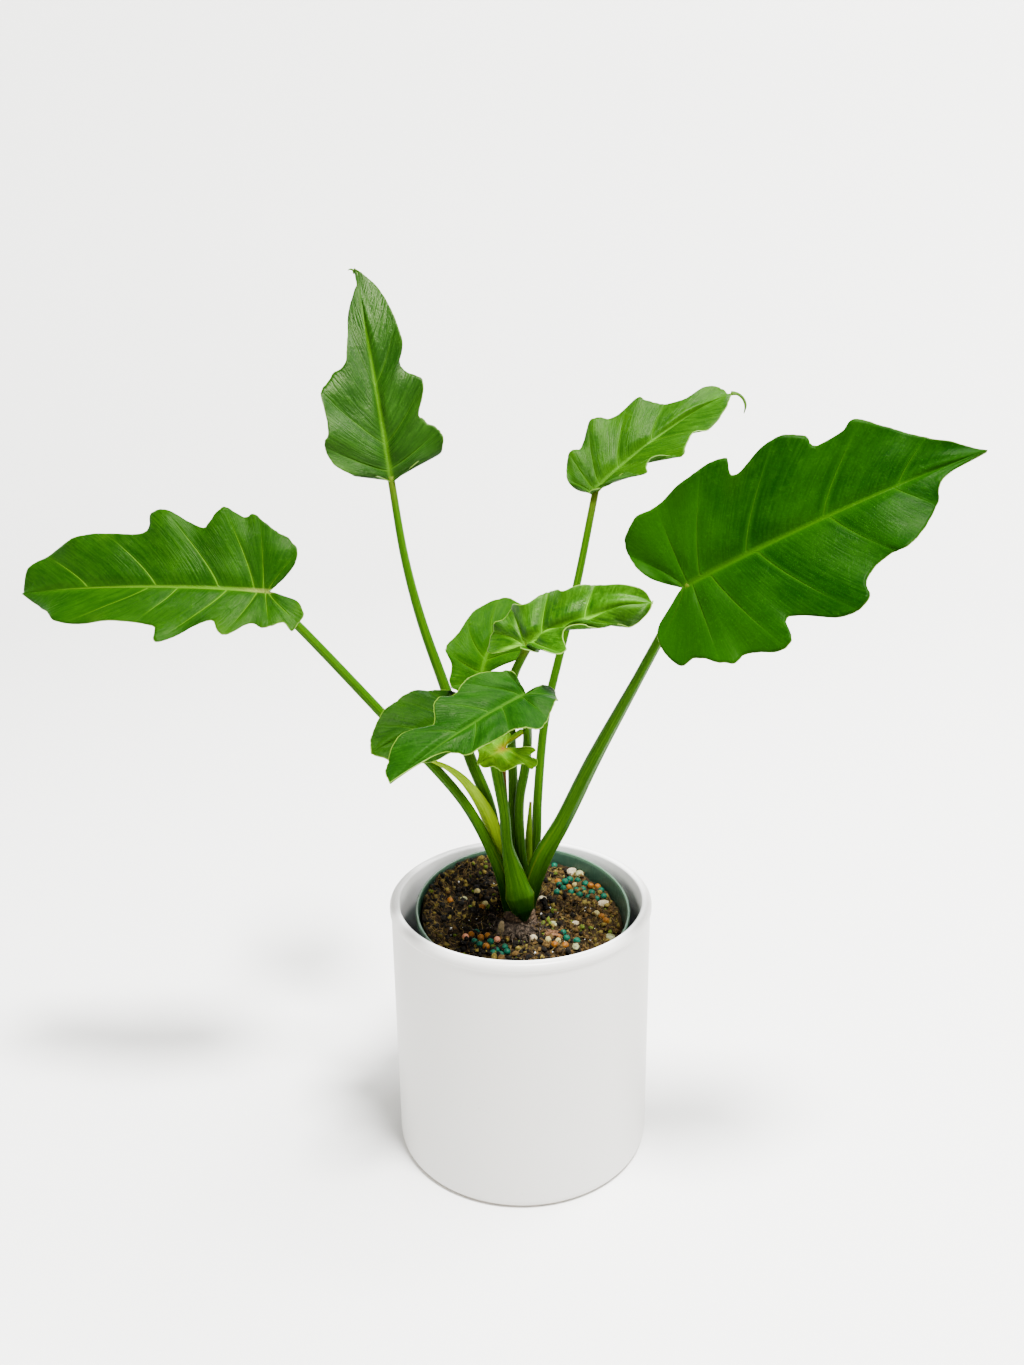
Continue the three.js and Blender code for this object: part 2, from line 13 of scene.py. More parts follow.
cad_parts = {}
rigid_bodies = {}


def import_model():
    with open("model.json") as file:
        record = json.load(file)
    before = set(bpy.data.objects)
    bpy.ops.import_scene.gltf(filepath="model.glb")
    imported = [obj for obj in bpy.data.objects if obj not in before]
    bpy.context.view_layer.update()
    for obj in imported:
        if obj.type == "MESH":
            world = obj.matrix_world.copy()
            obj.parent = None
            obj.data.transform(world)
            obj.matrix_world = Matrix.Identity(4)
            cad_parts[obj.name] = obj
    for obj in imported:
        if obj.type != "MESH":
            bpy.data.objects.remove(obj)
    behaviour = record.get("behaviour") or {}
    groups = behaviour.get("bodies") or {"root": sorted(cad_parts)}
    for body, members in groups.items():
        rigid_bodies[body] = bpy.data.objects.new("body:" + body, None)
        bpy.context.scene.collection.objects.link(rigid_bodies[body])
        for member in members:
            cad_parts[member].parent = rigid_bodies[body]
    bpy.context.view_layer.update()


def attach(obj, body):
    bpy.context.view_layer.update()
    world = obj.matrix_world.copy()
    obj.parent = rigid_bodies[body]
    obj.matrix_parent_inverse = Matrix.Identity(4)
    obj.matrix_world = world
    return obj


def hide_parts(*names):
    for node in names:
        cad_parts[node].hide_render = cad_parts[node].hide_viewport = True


bl_info = {
    "name": "Potted philodendron",
    "version": (1, 0, 0),
    "blender": (4, 5, 0),
    "location": "View3D > Sidebar > Plant",
    "description": "Leaves, stalks, soil and pots of a potted shangri-la philodendron",
    "category": "Add Mesh",
}

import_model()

MM = 0.001
BODY = "root"

# Points of a piece that are this near, in metres, are welded

MERGE = 2e-6

# What a finish reads at a blade's corners: the place among the main veins, how far apart
# these are, how far it is to the midrib and to the edge in mm, and the share of the way to
# the tip. At a tube's corners: the cosine and sine of the way it faces, and the share of
# the way along.

BLADE_VALUES = ("place", "gap", "rib", "edge", "ahead")
TUBE_VALUES = ("turn_x", "turn_y", "way")

# How many faces go round and along each kind of tube, across and along the soil and the
# crown, and round what is spun. A blade has BLADE_HALF across each half, and along it
# BLADE_ROWS more than its length in mm times BLADE_ROWS_PER_MM.

CELLS = {
    "stalk": (28, 110), "midrib": (12, 60), "vein": (6, 16), "tip_thread": (10, 30),
    "fibre": (4, 5), "root": (5, 5), "stub": (14, 14), "soil": (190, 100), "crown": (96, 80),
}
SPUN_STEPS = {"ceramic": 160, "nursery": 144, "floor": 96}
BLADE_HALF = 30
BLADE_ROWS = 40
BLADE_ROWS_PER_MM = 1.35

# Where each scattered kind's random draws start

SEEDS = {"prills": 11, "crumbs": 5, "fibres": 8, "roots": 21}

# Pots. The ceramic one stands on a ring round its raised base. Its lip stands proud of its
# wall, and starts and is full this far below the top.

CERAMIC = {"radius": 62.5, "height": 131, "wall": 4.1, "floor": 6, "foot_round": 2.2}
FOOT = {"raised": 1.2, "slope_from": 9, "ring": 7.5}
LIP = {"proud": 0.7, "starts": 4.9, "full": 3.9, "rounding": 2.8}
NURSERY = {
    "rim_radius": 52, "base_radius": 40, "base_round": 1, "wall": 1.1, "flange": 1,
    "flange_drop": 4.5, "floor": 1.6, "rim_centre": (1, 1, 125), "depth": 114.7,
    "lean_forward": 7.4, "lean_right": 1,
}
LEAN = (
    Matrix.Translation(Vector(NURSERY["rim_centre"]))
    @ Matrix.Rotation(math.radians(NURSERY["lean_forward"]), 4, "X")
    @ Matrix.Rotation(math.radians(NURSERY["lean_right"]), 4, "Y")
)

# Soil, measured from the nursery pot's rim plane and axis. Its surface lies below_rim at the
# middle, and its edge at lowest. A heap's kinds say how likely its prills are to be teal,
# orange, cream or salmon.

SOIL = {"below_rim": 9, "lowest": 13, "slope_across": -0.04, "slope_back": 0.04, "relief": 0.7}
BANK = {"toward": (-0.94, 0.34), "height": 5}
PRILL_RADIUS = 1.7
PRILL_HEAPS = [
    {"at": (30, 25), "reach": (13, 6.5), "turn": -25, "count": 27, "kinds": (12, 5, 1, 0)},
    {"at": (-17.5, -18.5), "reach": (12, 5.5), "turn": -34, "count": 18, "kinds": (12, 4, 1, 1)},
    {"at": (19, -14), "reach": (7.5, 5.5), "turn": 0, "count": 9, "kinds": (4, 3, 3, 0)},
    {"at": (-27, 14), "reach": (12, 9), "turn": 0, "count": 4, "kinds": (0, 1, 3, 1)},
    {"at": (39, 3), "reach": (3, 5), "turn": 0, "count": 3, "kinds": (1, 1, 1, 0)},
    {"at": (18, 44), "reach": (1, 1), "turn": 0, "count": 1, "kinds": (1, 0, 0, 0)},
    {"at": (16.8, 21.3), "reach": (1, 1), "turn": 0, "count": 1, "kinds": (1, 0, 0, 0)},
]
PEBBLES = [
    {"at": (26, 39), "size": (2.8, 2.2, 1.8)},
    {"at": (30, 36.5), "size": (2.6, 2.2, 2)},
    {"at": (41, 15), "size": (3.4, 2, 1.7)},
    {"at": (42, -11), "size": (2.8, 2.6, 2)},
    {"at": (10, 15), "size": (2.2, 2, 1.7)},
    {"at": (15, -3), "size": (2, 1.8, 1.6)},
    {"at": (5, -14), "size": (1.9, 1.9, 1.8)},
    {"at": (25, -20), "size": (1.9, 1.9, 1.8)},
    {"at": (26, -2), "size": (1.8, 1.8, 1.7)},
    {"at": (-29, 14), "size": (2.1, 1.5, 1.4)},
]
BARK_CHUNK = {"at": (14, -11), "size": (3.2, 2.6, 2.2), "turn": 25}

CROWN = {"x": -0.5, "y": 3, "bottom": 98, "soil_line": 115, "top": 124, "radius": 8.5}

# Leaf blades: joint, tip and the way the upper side faces. arch and bow bend the midrib up
# and sideways. fold lifts the left and the right half, in degrees at joint and tip. droop
# sinks the lobes behind the joint. ripple is a wave along the halves: its height, its length
# and where a crest is. quilt is how far the blade bulges between its veins, and wave how far
# its margin goes up and down. Margins are (out, along) from the midrib, joint to tip. Veins
# are where each main vein ends, as a place in the list of margin points, and how far along
# it starts.

BLADES = {
    "leaf_left": {
        "joint": (-111, 5, 282), "tip": (-226, 15, 280), "faces": (0.1, -0.75, 0.65),
        "arch": 6, "bow": 0, "fold": ((12, 12), (12, 12)), "droop": 0,
        "ripple": (1.5, 23, 0), "finish": "leaf_deep", "quilt": 1.5, "wave": 1.2,
        "left": [
            (2, -6), (5, -13), (12, -16), (20, -12), (17, -8), (21, 0), (19, 6), (26, 15),
            (24, 19), (18, 22), (22, 30), (28, 37), (32, 44), (23, 46), (21, 53), (20, 66),
            (20, 80), (19, 91), (13, 98), (8, 105),
        ],
        "right": [
            (6, -5), (14, -10), (21, -10), (26, -5), (29, 1), (35, 9), (35, 15), (37, 23),
            (31, 28), (28, 31), (31, 38), (34, 44), (36, 50), (34, 55), (26, 56), (25, 66),
            (26, 80), (22, 92), (17, 104), (11, 112),
        ],
        "left_veins": [(3.5, 0.6), (5.7, 1.5), (8.25, 5), (13.25, 18), (15.25, 40), (17.75, 53)],
        "right_veins": [(2.6, 0.6), (5.75, 2.5), (8, 6.5), (13, 22), (16.75, 50), (19, 82)],
    },
    "leaf_tall": {
        "joint": (-58, 45, 324), "tip": (-76, 90, 419), "faces": (0.1, -0.85, 0.5),
        "arch": 6, "bow": 0, "fold": ((14, 10), (14, 10)), "droop": 5,
        "ripple": (1.5, 22, 0), "finish": "leaf_silver", "quilt": 2.2, "wave": 1.4,
        "left": [
            (6, 3), (13, 5), (18, 5), (26, 11), (29, 19), (26, 25), (26, 37), (26, 44),
            (20, 52), (13, 56), (11, 62), (9, 72), (7, 83), (3, 93), (-1, 100), (-1, 104),
        ],
        "right": [
            (8, 4), (16, 8), (24, 9), (27, 13), (26, 20), (20, 25), (18, 29), (21, 36),
            (22, 44), (16, 49), (13, 54), (16, 62), (15, 74), (13, 84), (9, 96), (4, 103),
        ],
        "left_veins": [(2.6, 1.2), (5, 5), (8, 18), (12.4, 44)],
        "right_veins": [(2.6, 1.5), (5, 6), (8.75, 18), (13, 46)],
    },
    "leaf_back": {
        "joint": (36, 55, 316), "tip": (106, 80, 360), "faces": (-0.35, -0.6, 0.7),
        "arch": 5, "bow": 0, "fold": ((15, 10), (30, 10)), "droop": 3,
        "ripple": (0, 20, 5), "finish": "leaf_fresh", "quilt": 2.2, "wave": 1.4,
        "left": [
            (7, -3), (14, -3), (20, 2), (23, 7), (21, 11), (25, 17), (29, 24), (27, 29),
            (24, 34), (24, 47), (20, 51), (14, 57), (9, 66), (9, 77), (6, 83), (3, 85),
        ],
        "right": [
            (3, 2), (7, 7), (10, 11), (13, 16), (21, 19), (24, 22), (19, 26), (19.5, 30.5),
            (24, 35), (29, 38), (26, 42), (18, 51), (19, 58), (17, 65), (12, 74), (5, 82),
        ],
        "left_veins": [(2, 0.8), (3.8, 2.5), (6.75, 6), (9.6, 18), (12, 38)],
        "right_veins": [(3, 1.5), (6, 6), (10, 18), (13.2, 38)],
    },
    "leaf_right": {
        "joint": (66, -50, 295), "tip": (178, -60, 349), "faces": (-0.1, -0.8, 0.6),
        "arch": 6, "bow": 0, "fold": ((10, 10), (10, 10)), "droop": 0,
        "ripple": (0, 26, 0), "finish": "leaf_dark", "quilt": 1.5, "wave": 1.3,
        "left": [
            (9, -10), (19, -14), (27, -14), (33, -7), (35, 4), (37.5, 19), (40, 31), (38.5, 36.5),
            (32, 35.5), (31, 40), (35, 49), (36.5, 58), (33, 66), (27.5, 69), (28, 80), (30, 85),
            (22, 96), (13, 106), (6, 117),
        ],
        "right": [
            (5, -7), (13, -15), (22, -16), (31, -12), (31, -5), (37, 2), (41, 9), (39, 14),
            (44, 24), (43, 31), (34, 32), (34, 37), (42, 50), (41, 61), (31, 65), (26, 75),
            (26, 84), (14, 99), (5, 105),
        ],
        "left_veins": [(2.4, 0.6), (5, 2.4), (6.5, 8), (11.75, 28), (16.25, 60), (18, 90)],
        "right_veins": [(2.6, 0.6), (6.25, 4), (9.5, 12), (13.5, 32), (16.25, 62), (18, 88)],
    },
    "leaf_centre_right": {
        "joint": (2, -15, 261), "tip": (58, -20, 281), "faces": (-0.15, -0.6, 0.75),
        "arch": 4, "bow": 0, "fold": ((15, 10), (25, 5)), "droop": 0,
        "ripple": (0, 18, 0), "finish": "leaf_bright", "quilt": 4.4, "wave": 1.6,
        "left": [
            (1, -10), (5, -16), (11, -13), (14, -8), (15, -4), (19, 2), (15, 8), (19, 15),
            (18, 21), (14, 25), (15, 32), (15, 38), (11, 46), (6, 56),
        ],
        "right": [
            (6, 2), (9, 7), (13, 11), (17, 15), (15, 20), (8, 20), (4, 22), (5, 28), (7, 32),
            (8, 37), (10, 42), (12, 47), (9, 52), (5, 57),
        ],
        "left_veins": [(3.5, 0.5), (5.75, 1.5), (8.5, 10), (12, 30)],
        "right_veins": [(2, 1), (4.5, 5), (9.5, 18), (12, 30)],
    },
    "leaf_centre_rear": {
        "joint": (-17, 5, 238), "tip": (6, 30, 262), "faces": (-0.1, -0.85, 0.5),
        "arch": 4, "bow": -6, "fold": ((10, 0), (10, 0)), "droop": 0,
        "ripple": (0, 18, 0), "finish": "leaf_vivid", "quilt": 1.8, "wave": 0.7,
        "left": [
            (6, -5), (12, -4), (15, -1), (14, 4), (18, 8), (19, 10), (16, 16), (16, 26),
            (14, 35), (10, 39), (5, 42),
        ],
        "right": [
            (3, 4), (7, 8), (11, 11), (14, 14), (15, 18), (15, 23), (13, 27), (12, 31),
            (9, 35), (6, 38), (3, 41),
        ],
        "left_veins": [(2.5, 0.5), (5.5, 3.5), (7.5, 10), (9, 20)],
        "right_veins": [(3.5, 3), (6, 9), (8.5, 20)],
    },
    "leaf_front": {
        "joint": (3, -35, 246), "tip": (-52, -75, 222), "faces": (0, -0.6, 0.8),
        "arch": 4, "bow": 0, "fold": ((8, 0), (8, 0)), "droop": 6,
        "ripple": (0, 18, 0), "finish": "leaf_blue", "quilt": 2.0, "wave": 1.3,
        "left": [
            (0.5, -6), (0.7, -11), (4, -14), (11, -9), (12, -6), (17, 3), (20, 11), (17, 16),
            (13, 21), (13, 31), (12, 40), (7, 44), (3, 49), (1.5, 60),
        ],
        "right": [
            (7, -1), (13, 0), (16, 6), (18, 18), (16, 26), (18, 33), (15, 38), (10, 42),
            (12, 48), (14, 55), (13, 60), (10, 65), (8, 68), (5, 71),
        ],
        "left_veins": [(3.5, 0.5), (6, 3), (9, 14), (11, 28)],
        "right_veins": [(2, 0.8), (4.25, 3), (6.5, 20), (10, 37)],
    },
    "leaf_under": {
        "joint": (-19, 8, 222), "tip": (-64, -36, 220), "faces": (0, -0.65, 0.75),
        "arch": 4, "bow": 0, "fold": ((10, 0), (10, 0)), "droop": 0,
        "ripple": (0, 18, 0), "finish": "leaf_mottled", "quilt": 1.5, "wave": 0.6,
        "left": [
            (3, 4), (7, 8), (11, 12), (14, 17), (16, 22), (18, 30), (18, 39), (17, 48),
            (12, 55), (5, 61),
        ],
        "right": [
            (4, -3), (9, -1), (12, 6), (15, 13), (18, 20), (19, 28), (18, 37), (15, 47),
            (9, 56), (4, 61),
        ],
        "left_veins": [(3, 2), (5.5, 8), (7.5, 20), (9, 38)],
        "right_veins": [(2.5, 1), (5, 8), (7, 20), (8.7, 38)],
    },
    "leaf_young": {
        "joint": (-6, -12, 212.5), "tip": (-18, -26, 210), "faces": (0, -0.75, 0.6),
        "arch": 1, "bow": 0, "fold": ((6, 0), (6, 0)), "droop": 0,
        "ripple": (0, 8, 0), "finish": "leaf_young", "quilt": 1.2, "wave": 1.4,
        "left": [
            (3, -3), (5, -8), (8, -13), (9.5, -7), (14, -6), (16, -2), (12, 0), (11, 8),
            (8, 13), (4, 16),
        ],
        "right": [
            (1.5, -6), (1.5, -12), (2, -17), (4.5, -16), (4, -10), (6.5, -7), (6, 2), (5.5, 8),
            (6, 13), (3, 17),
        ],
        "left_veins": [(3, 0.4), (5.5, 1.2), (8, 5), (9.4, 10)],
        "right_veins": [(3, 0.4), (6, 1.2), (7.6, 4), (9, 9)],
    },
}

# Stalks: the blade each one carries, the way its broad side faces, how deep its section is
# for its width at foot and middle, then its route and half widths, from the crown up.

STALKS = {
    "stalk_centre_rear": {
        "blade": "leaf_centre_rear", "faces": (0.1, -1, 0.1), "depth": (0.55, 1),
        "route": [
            (2, -4, 119), (1, -4, 125), (-0.3, -3, 132), (-2, -2, 140), (-6, 0, 157),
            (-7.2, 0, 174), (-10.6, 1, 196), (-14, 3, 220),
        ],
        "half_widths": [1.2, 5.4, 7.1, 5.4, 2.7, 2.6, 2.8, 2.7, 2.2],
    },
    "stalk_right": {
        "blade": "leaf_right", "faces": (0.7, -0.7, 0.1), "depth": (0.6, 1),
        "route": [
            (3, 4, 117), (4.5, 2.5, 131), (10, 0, 150), (20.3, -4, 172), (33.5, -13, 206),
            (50.5, -32, 250), (60, -43, 275),
        ],
        "half_widths": [3.6, 5.6, 5.2, 4.0, 3.4, 2.3, 2.0, 1.6],
    },
    "stalk_left": {
        "blade": "leaf_left", "faces": (-0.7, -0.7, 0.1), "depth": (0.8, 1),
        "route": [
            (-4, 3, 118), (-8, 4, 136), (-13, 6, 150), (-27, 9, 177), (-65, 12, 222),
            (-100, 13, 263),
        ],
        "half_widths": [4.0, 3.4, 2.8, 2.4, 2.3, 2.1, 1.8],
    },
    "stalk_young": {
        "blade": "leaf_young", "faces": (0, -1, 0), "depth": (1, 1),
        "route": [
            (-2, 7, 124), (-4, 7, 142), (-6, 7, 160), (-7, 5, 180), (-7.5, 4, 190),
            (-7.5, -5, 207),
        ],
        "half_widths": [1.8, 1.7, 1.6, 1.5, 1.5, 1.4, 1.2],
    },
    "stalk_front": {
        "blade": "leaf_front", "faces": (0.2, 1, 0), "depth": (0.9, 1),
        "route": [
            (2, 9, 120), (1.5, 12, 135), (0, 11, 155), (0, 6, 178), (3, 1, 198),
            (4, -7, 218),
        ],
        "half_widths": [3.4, 2.9, 2.6, 2.4, 2.3, 2.1, 1.8],
    },
    "stalk_centre_right": {
        "blade": "leaf_centre_right", "faces": (-0.2, 1, 0), "depth": (0.9, 1),
        "route": [
            (-3, 9, 120), (-3, 13, 135), (-3, 13, 150), (-3, 11, 171), (-3, 8, 193),
            (-3.5, 3, 214), (-2.5, -7, 243),
        ],
        "half_widths": [3.2, 2.8, 2.6, 2.4, 2.3, 2.2, 2.1, 1.8],
    },
    "stalk_tall": {
        "blade": "leaf_tall", "faces": (-0.5, 0.8, 0), "depth": (0.8, 1),
        "route": [
            (-5, 9, 118), (-9, 14, 136), (-15, 20, 170), (-23.5, 25, 192), (-35.5, 31, 228),
            (-46, 36, 260), (-53, 41, 289),
        ],
        "half_widths": [3.8, 3.4, 3.1, 2.9, 2.6, 2.3, 2.0, 1.7],
    },
    "stalk_back": {
        "blade": "leaf_back", "faces": (0.6, 0.8, 0), "depth": (0.8, 1),
        "route": [
            (4, 9, 118), (5.5, 16, 137), (8, 19, 151), (9, 22, 171), (13, 30, 210),
            (21, 37, 243), (29, 44, 274),
        ],
        "half_widths": [3.6, 3.0, 2.6, 2.3, 2.1, 2.0, 1.9, 1.7],
    },
    "stalk_under": {
        "blade": "leaf_under", "faces": (-0.3, 1, 0), "depth": (0.9, 1),
        "route": [
            (-5, 9, 122), (-6, 12, 140), (-7, 13, 168), (-10.5, 13, 190), (-13.5, 12, 204),
        ],
        "half_widths": [2.6, 2.4, 2.2, 2.1, 2.0, 1.7],
    },
}
CATAPHYLLS = {
    "cataphyll_large": {
        "finish": "scale_leaf", "faces": (-0.5, -0.8, 0.3), "depth": (0.45, 0.35),
        "route": [
            (-6, 8, 122), (-9, 10, 144), (-15, 10, 168), (-25, 9, 186), (-33, 8, 194),
            (-41, 6, 199),
        ],
        "half_widths": [3.6, 4.6, 4.4, 2.6, 1.6, 0.8],
    },
    "cataphyll_small": {
        "finish": "scale_leaf_dried", "faces": (0.4, 0.9, 0), "depth": (0.6, 0.6),
        "route": [(3, 11, 122), (4, 15, 138), (4.5, 16, 156), (5.5, 18, 172)],
        "half_widths": [2.4, 2.2, 1.8, 0.7],
    },
}
RED_STALKS = ("stalk_young",)

# A stalk meets its blade this far past the joint, and lies this share of its own half width
# below the midrib

SEAT_AHEAD = 3
SEAT_SINK = 0.6

# The threads that two leaves' tips end in

TIP_THREADS = {
    "blade_back_tip": {
        "route": [
            (106, 80, 360), (109, 81, 359.6), (112, 82, 357.5), (113.6, 82, 354), (113, 82, 350),
        ],
        "half_widths": [1.2, 0.8, 0.75, 0.7, 0.2],
    },
    "blade_tall_tip": {
        "route": [(-76, 90, 417.5), (-76.5, 89.6, 419), (-77.8, 89.4, 419.5), (-79, 89.3, 419)],
        "half_widths": [0.7, 0.6, 0.4, 0.15],
    },
}


# Small tools


def lerp(low, high, share):
    return low + (high - low) * share


def smooth(low, high, value):
    """0 at low and 1 at high, smooth between. High may be the lesser."""
    share = min(1, max(0, (value - low) / (high - low)))
    return share * share * (3 - 2 * share)


def cubic(p1, p2, v1, v2, w):
    """The point a share w of the way from p1 to p2, on a curve that leaves the one along v1
    and meets the other along v2."""
    bend = (2 * p1 - 2 * p2 + v1 + v2) * w**3
    return bend + (3 * p2 - 3 * p1 - 2 * v1 - v2) * w**2 + v1 * w + p1


def catmull_rom(points, share):
    """A point of the smooth curve through all the points, shared out evenly between them."""
    last = len(points) - 1
    knot = min(last - 1, int(share * last))
    w = share * last - knot
    p0, p1 = points[max(0, knot - 1)], points[knot]
    p2, p3 = points[knot + 1], points[min(last, knot + 2)]
    return cubic(p1, p2, (p2 - p0) / 2, (p3 - p1) / 2, w)


def curve_through(points, share):
    """The solids' curve through a stalk's points: as catmull_rom, but it spaces its bends by
    how far apart the points are, and runs straight on past its ends."""
    last = len(points) - 1
    knot = min(last - 1, int(share * last))
    w = share * last - knot
    p1, p2 = points[knot], points[knot + 1]
    p0 = points[knot - 1] if knot else 2 * p1 - p2
    p3 = points[knot + 2] if knot + 2 <= last else 2 * p2 - p1
    d0, d1, d2 = ((b - a).length ** 0.5 for a, b in ((p0, p1), (p1, p2), (p2, p3)))
    v1 = ((p1 - p0) / d0 - (p2 - p0) / (d0 + d1) + (p2 - p1) / d1) * d1
    v2 = ((p2 - p1) / d1 - (p3 - p1) / (d1 + d2) + (p3 - p2) / d2) * d1
    return cubic(p1, p2, v1, v2, w)


def facing(front, along):
    """The direction square to along that is nearest to front."""
    wanted = Vector(front)
    return (wanted - along * wanted.dot(along)).normalized()


def from_table(values, place):
    """The value at a place in a list, between two of its items."""
    knot = min(len(values) - 2, int(place))
    return lerp(values[knot], values[knot + 1], place - knot)


# Pieces


def add_object(name, bm, finishes, weld=True):
    """A smooth-shaded object at the origin. weld joins its seams and turns its faces out."""
    if weld:
        bmesh.ops.remove_doubles(bm, verts=bm.verts, dist=MERGE)
        bmesh.ops.recalc_face_normals(bm, faces=bm.faces)
    mesh = bpy.data.meshes.new(name)
    bm.to_mesh(mesh)
    bm.free()
    for finish in finishes:
        mesh.materials.append(finish)
    mesh.polygons.foreach_set("use_smooth", [True] * len(mesh.polygons))
    made = bpy.data.objects.new(name, mesh)
    bpy.context.scene.collection.objects.link(made)
    return made


def add_piece(name, bm, finishes, nodes=(), weld=True):
    """A part of the plant or its pots, in the place of the solids that nodes names."""
    piece = add_object(name, bm, finishes, weld)
    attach(piece, BODY)
    if nodes:
        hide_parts(*nodes)
    return piece


def add_grid(bm, across, along, place):
    """A grid of faces. place(u, v) gives each corner's point in mm, with u and v from 0 to 1,
    and a dictionary of values for the corner's attributes."""
    corners = bmesh.ops.create_grid(bm, x_segments=across, y_segments=along, size=0.5)["verts"]
    for corner in corners:
        u = round((corner.co.x + 0.5) * across) / across
        v = round((corner.co.y + 0.5) * along) / along
        point, values = place(u, v)
        corner.co = point * MM
        for name, value in values.items():
            corner[bm.verts.layers.float[name]] = value


def new_mesh(names):
    """An empty mesh whose corners can hold the named values, for the finishes to read."""
    bm = bmesh.new()
    for name in names:
        bm.verts.layers.float.new(name)
    return bm


def close_ends(bm):
    """Welds the seams and fills the open ends."""
    bmesh.ops.remove_doubles(bm, verts=bm.verts, dist=MERGE)
    open_edges = [edge for edge in bm.edges if edge.is_boundary]
    bmesh.ops.holes_fill(bm, edges=open_edges, sides=0)


def spun(profile, steps):
    """A closed body of revolution from (radius, height) points that run from axis to axis."""
    bm = bmesh.new()
    verts = [bm.verts.new((radius * MM, 0, height * MM)) for radius, height in profile]
    edges = [bm.edges.new(pair) for pair in zip(verts, verts[1:])]
    bmesh.ops.spin(
        bm, geom=verts + edges, cent=(0, 0, 0), axis=(0, 0, 1), angle=math.tau,
        steps=steps, use_merge=True,
    )
    return bm


def rounded(corners, steps=6):
    """A profile whose corners (radius, height, rounding) are turned into short curves."""
    points = []
    for i, (x, z, rounding) in enumerate(corners):
        if not rounding:
            points.append((x, z))
            continue
        here = Vector((x, z))
        before = (Vector(corners[i - 1][:2]) - here).normalized() * rounding + here
        after = (Vector(corners[i + 1][:2]) - here).normalized() * rounding + here
        for k in range(steps + 1):
            t = k / steps
            points.append(tuple(before * (1 - t) ** 2 + here * 2 * t * (1 - t) + after * t * t))
    return points


# Shader expressions


class Wire:
    """A socket that takes part in sums. Each sum adds the Math node that works it out."""

    def __init__(self, paint, socket):
        self.paint = paint
        self.socket = socket

    def math(self, operation, *values):
        return self.paint.add("ShaderNodeMath", {"operation": operation}, *values)

    def __add__(self, other):
        return self.math("ADD", self, other)

    __radd__ = __add__

    def __sub__(self, other):
        return self.math("SUBTRACT", self, other)

    def __rsub__(self, other):
        return self.math("SUBTRACT", other, self)

    def __mul__(self, other):
        return self.math("MULTIPLY", self, other)

    __rmul__ = __mul__

    def __truediv__(self, other):
        return self.math("DIVIDE", self, other)

    def __rtruediv__(self, other):
        return self.math("DIVIDE", other, self)

    def __abs__(self):
        return self.math("ABSOLUTE", self)

    def fraction(self):
        return self.math("FRACT", self)

    def angle(self, x):
        """How far round the point x, y is in radians, with y in this socket."""
        return self.math("ARCTAN2", self, x)


# The Mix node's sockets for numbers and vectors, between its factor and its two colours

MIX_OTHER_SOCKETS = (None,) * 5


class Paint:
    """A material and the means to write its nodes as expressions."""

    def __init__(self, name):
        self.material = bpy.data.materials.new(name)
        self.material.use_nodes = True
        self.tree = self.material.node_tree
        self.shader = self.tree.nodes["Principled BSDF"]

    def fill(self, socket, value):
        if isinstance(value, Wire):
            self.tree.links.new(value.socket, socket)
        elif isinstance(value, tuple) and len(value) == 3 and socket.type == "RGBA":
            socket.default_value = (*value, 1)
        else:
            socket.default_value = value

    def add(self, kind, settings, *values, output=0, **named):
        """A node: its settings first, then its sockets in order, or by name."""
        node = self.tree.nodes.new(kind)
        for key, value in settings.items():
            setattr(node, key, value)
        for socket, value in zip(node.inputs, values):
            if value is not None:
                self.fill(socket, value)
        for key, value in named.items():
            self.fill(node.inputs[key], value)
        return Wire(self, node.outputs[output])

    def objects(self):
        return self.add("ShaderNodeTexCoord", {}, output="Object")

    def attribute(self, name):
        return self.add("ShaderNodeAttribute", {"attribute_name": name}, output="Fac")

    def axis(self, name):
        return self.add("ShaderNodeSeparateXYZ", {}, self.objects(), output=name)

    def noise(self, scale, detail=3.0, rough=0.5, vector=None):
        return self.add(
            "ShaderNodeTexNoise", {}, Vector=vector or self.objects(), Scale=scale,
            Detail=detail, Roughness=rough,
        )

    def cells(self, scale):
        """How far it is to the nearest of many scattered points."""
        return self.add(
            "ShaderNodeTexVoronoi", {}, Vector=self.objects(), Scale=scale, output="Distance",
        )

    def ramp(self, value, low, high):
        """0 below low, 1 above high, smooth between."""
        settings = {"interpolation_type": "SMOOTHSTEP"}
        return self.add("ShaderNodeMapRange", settings, value, low, high, 0.0, 1.0)

    def mix(self, share, low, high):
        """The colour low where share is 0, and high where it is 1."""
        colours = (*MIX_OTHER_SOCKETS, low, high)
        return self.add("ShaderNodeMix", {"data_type": "RGBA"}, share, *colours, output=2)

    def bump(self, height, distance):
        return self.add("ShaderNodeBump", {}, Strength=1.0, Distance=distance, Height=height)

    def finish(self, **sockets):
        for key, value in sockets.items():
            self.fill(self.shader.inputs[key.replace("_", " ")], value)
        return self.material


# Leaf blades

# A ripple is at its full height this far out, and a droop this far behind the joint, as a
# share of the blade's length

FULL_BEND = 0.3


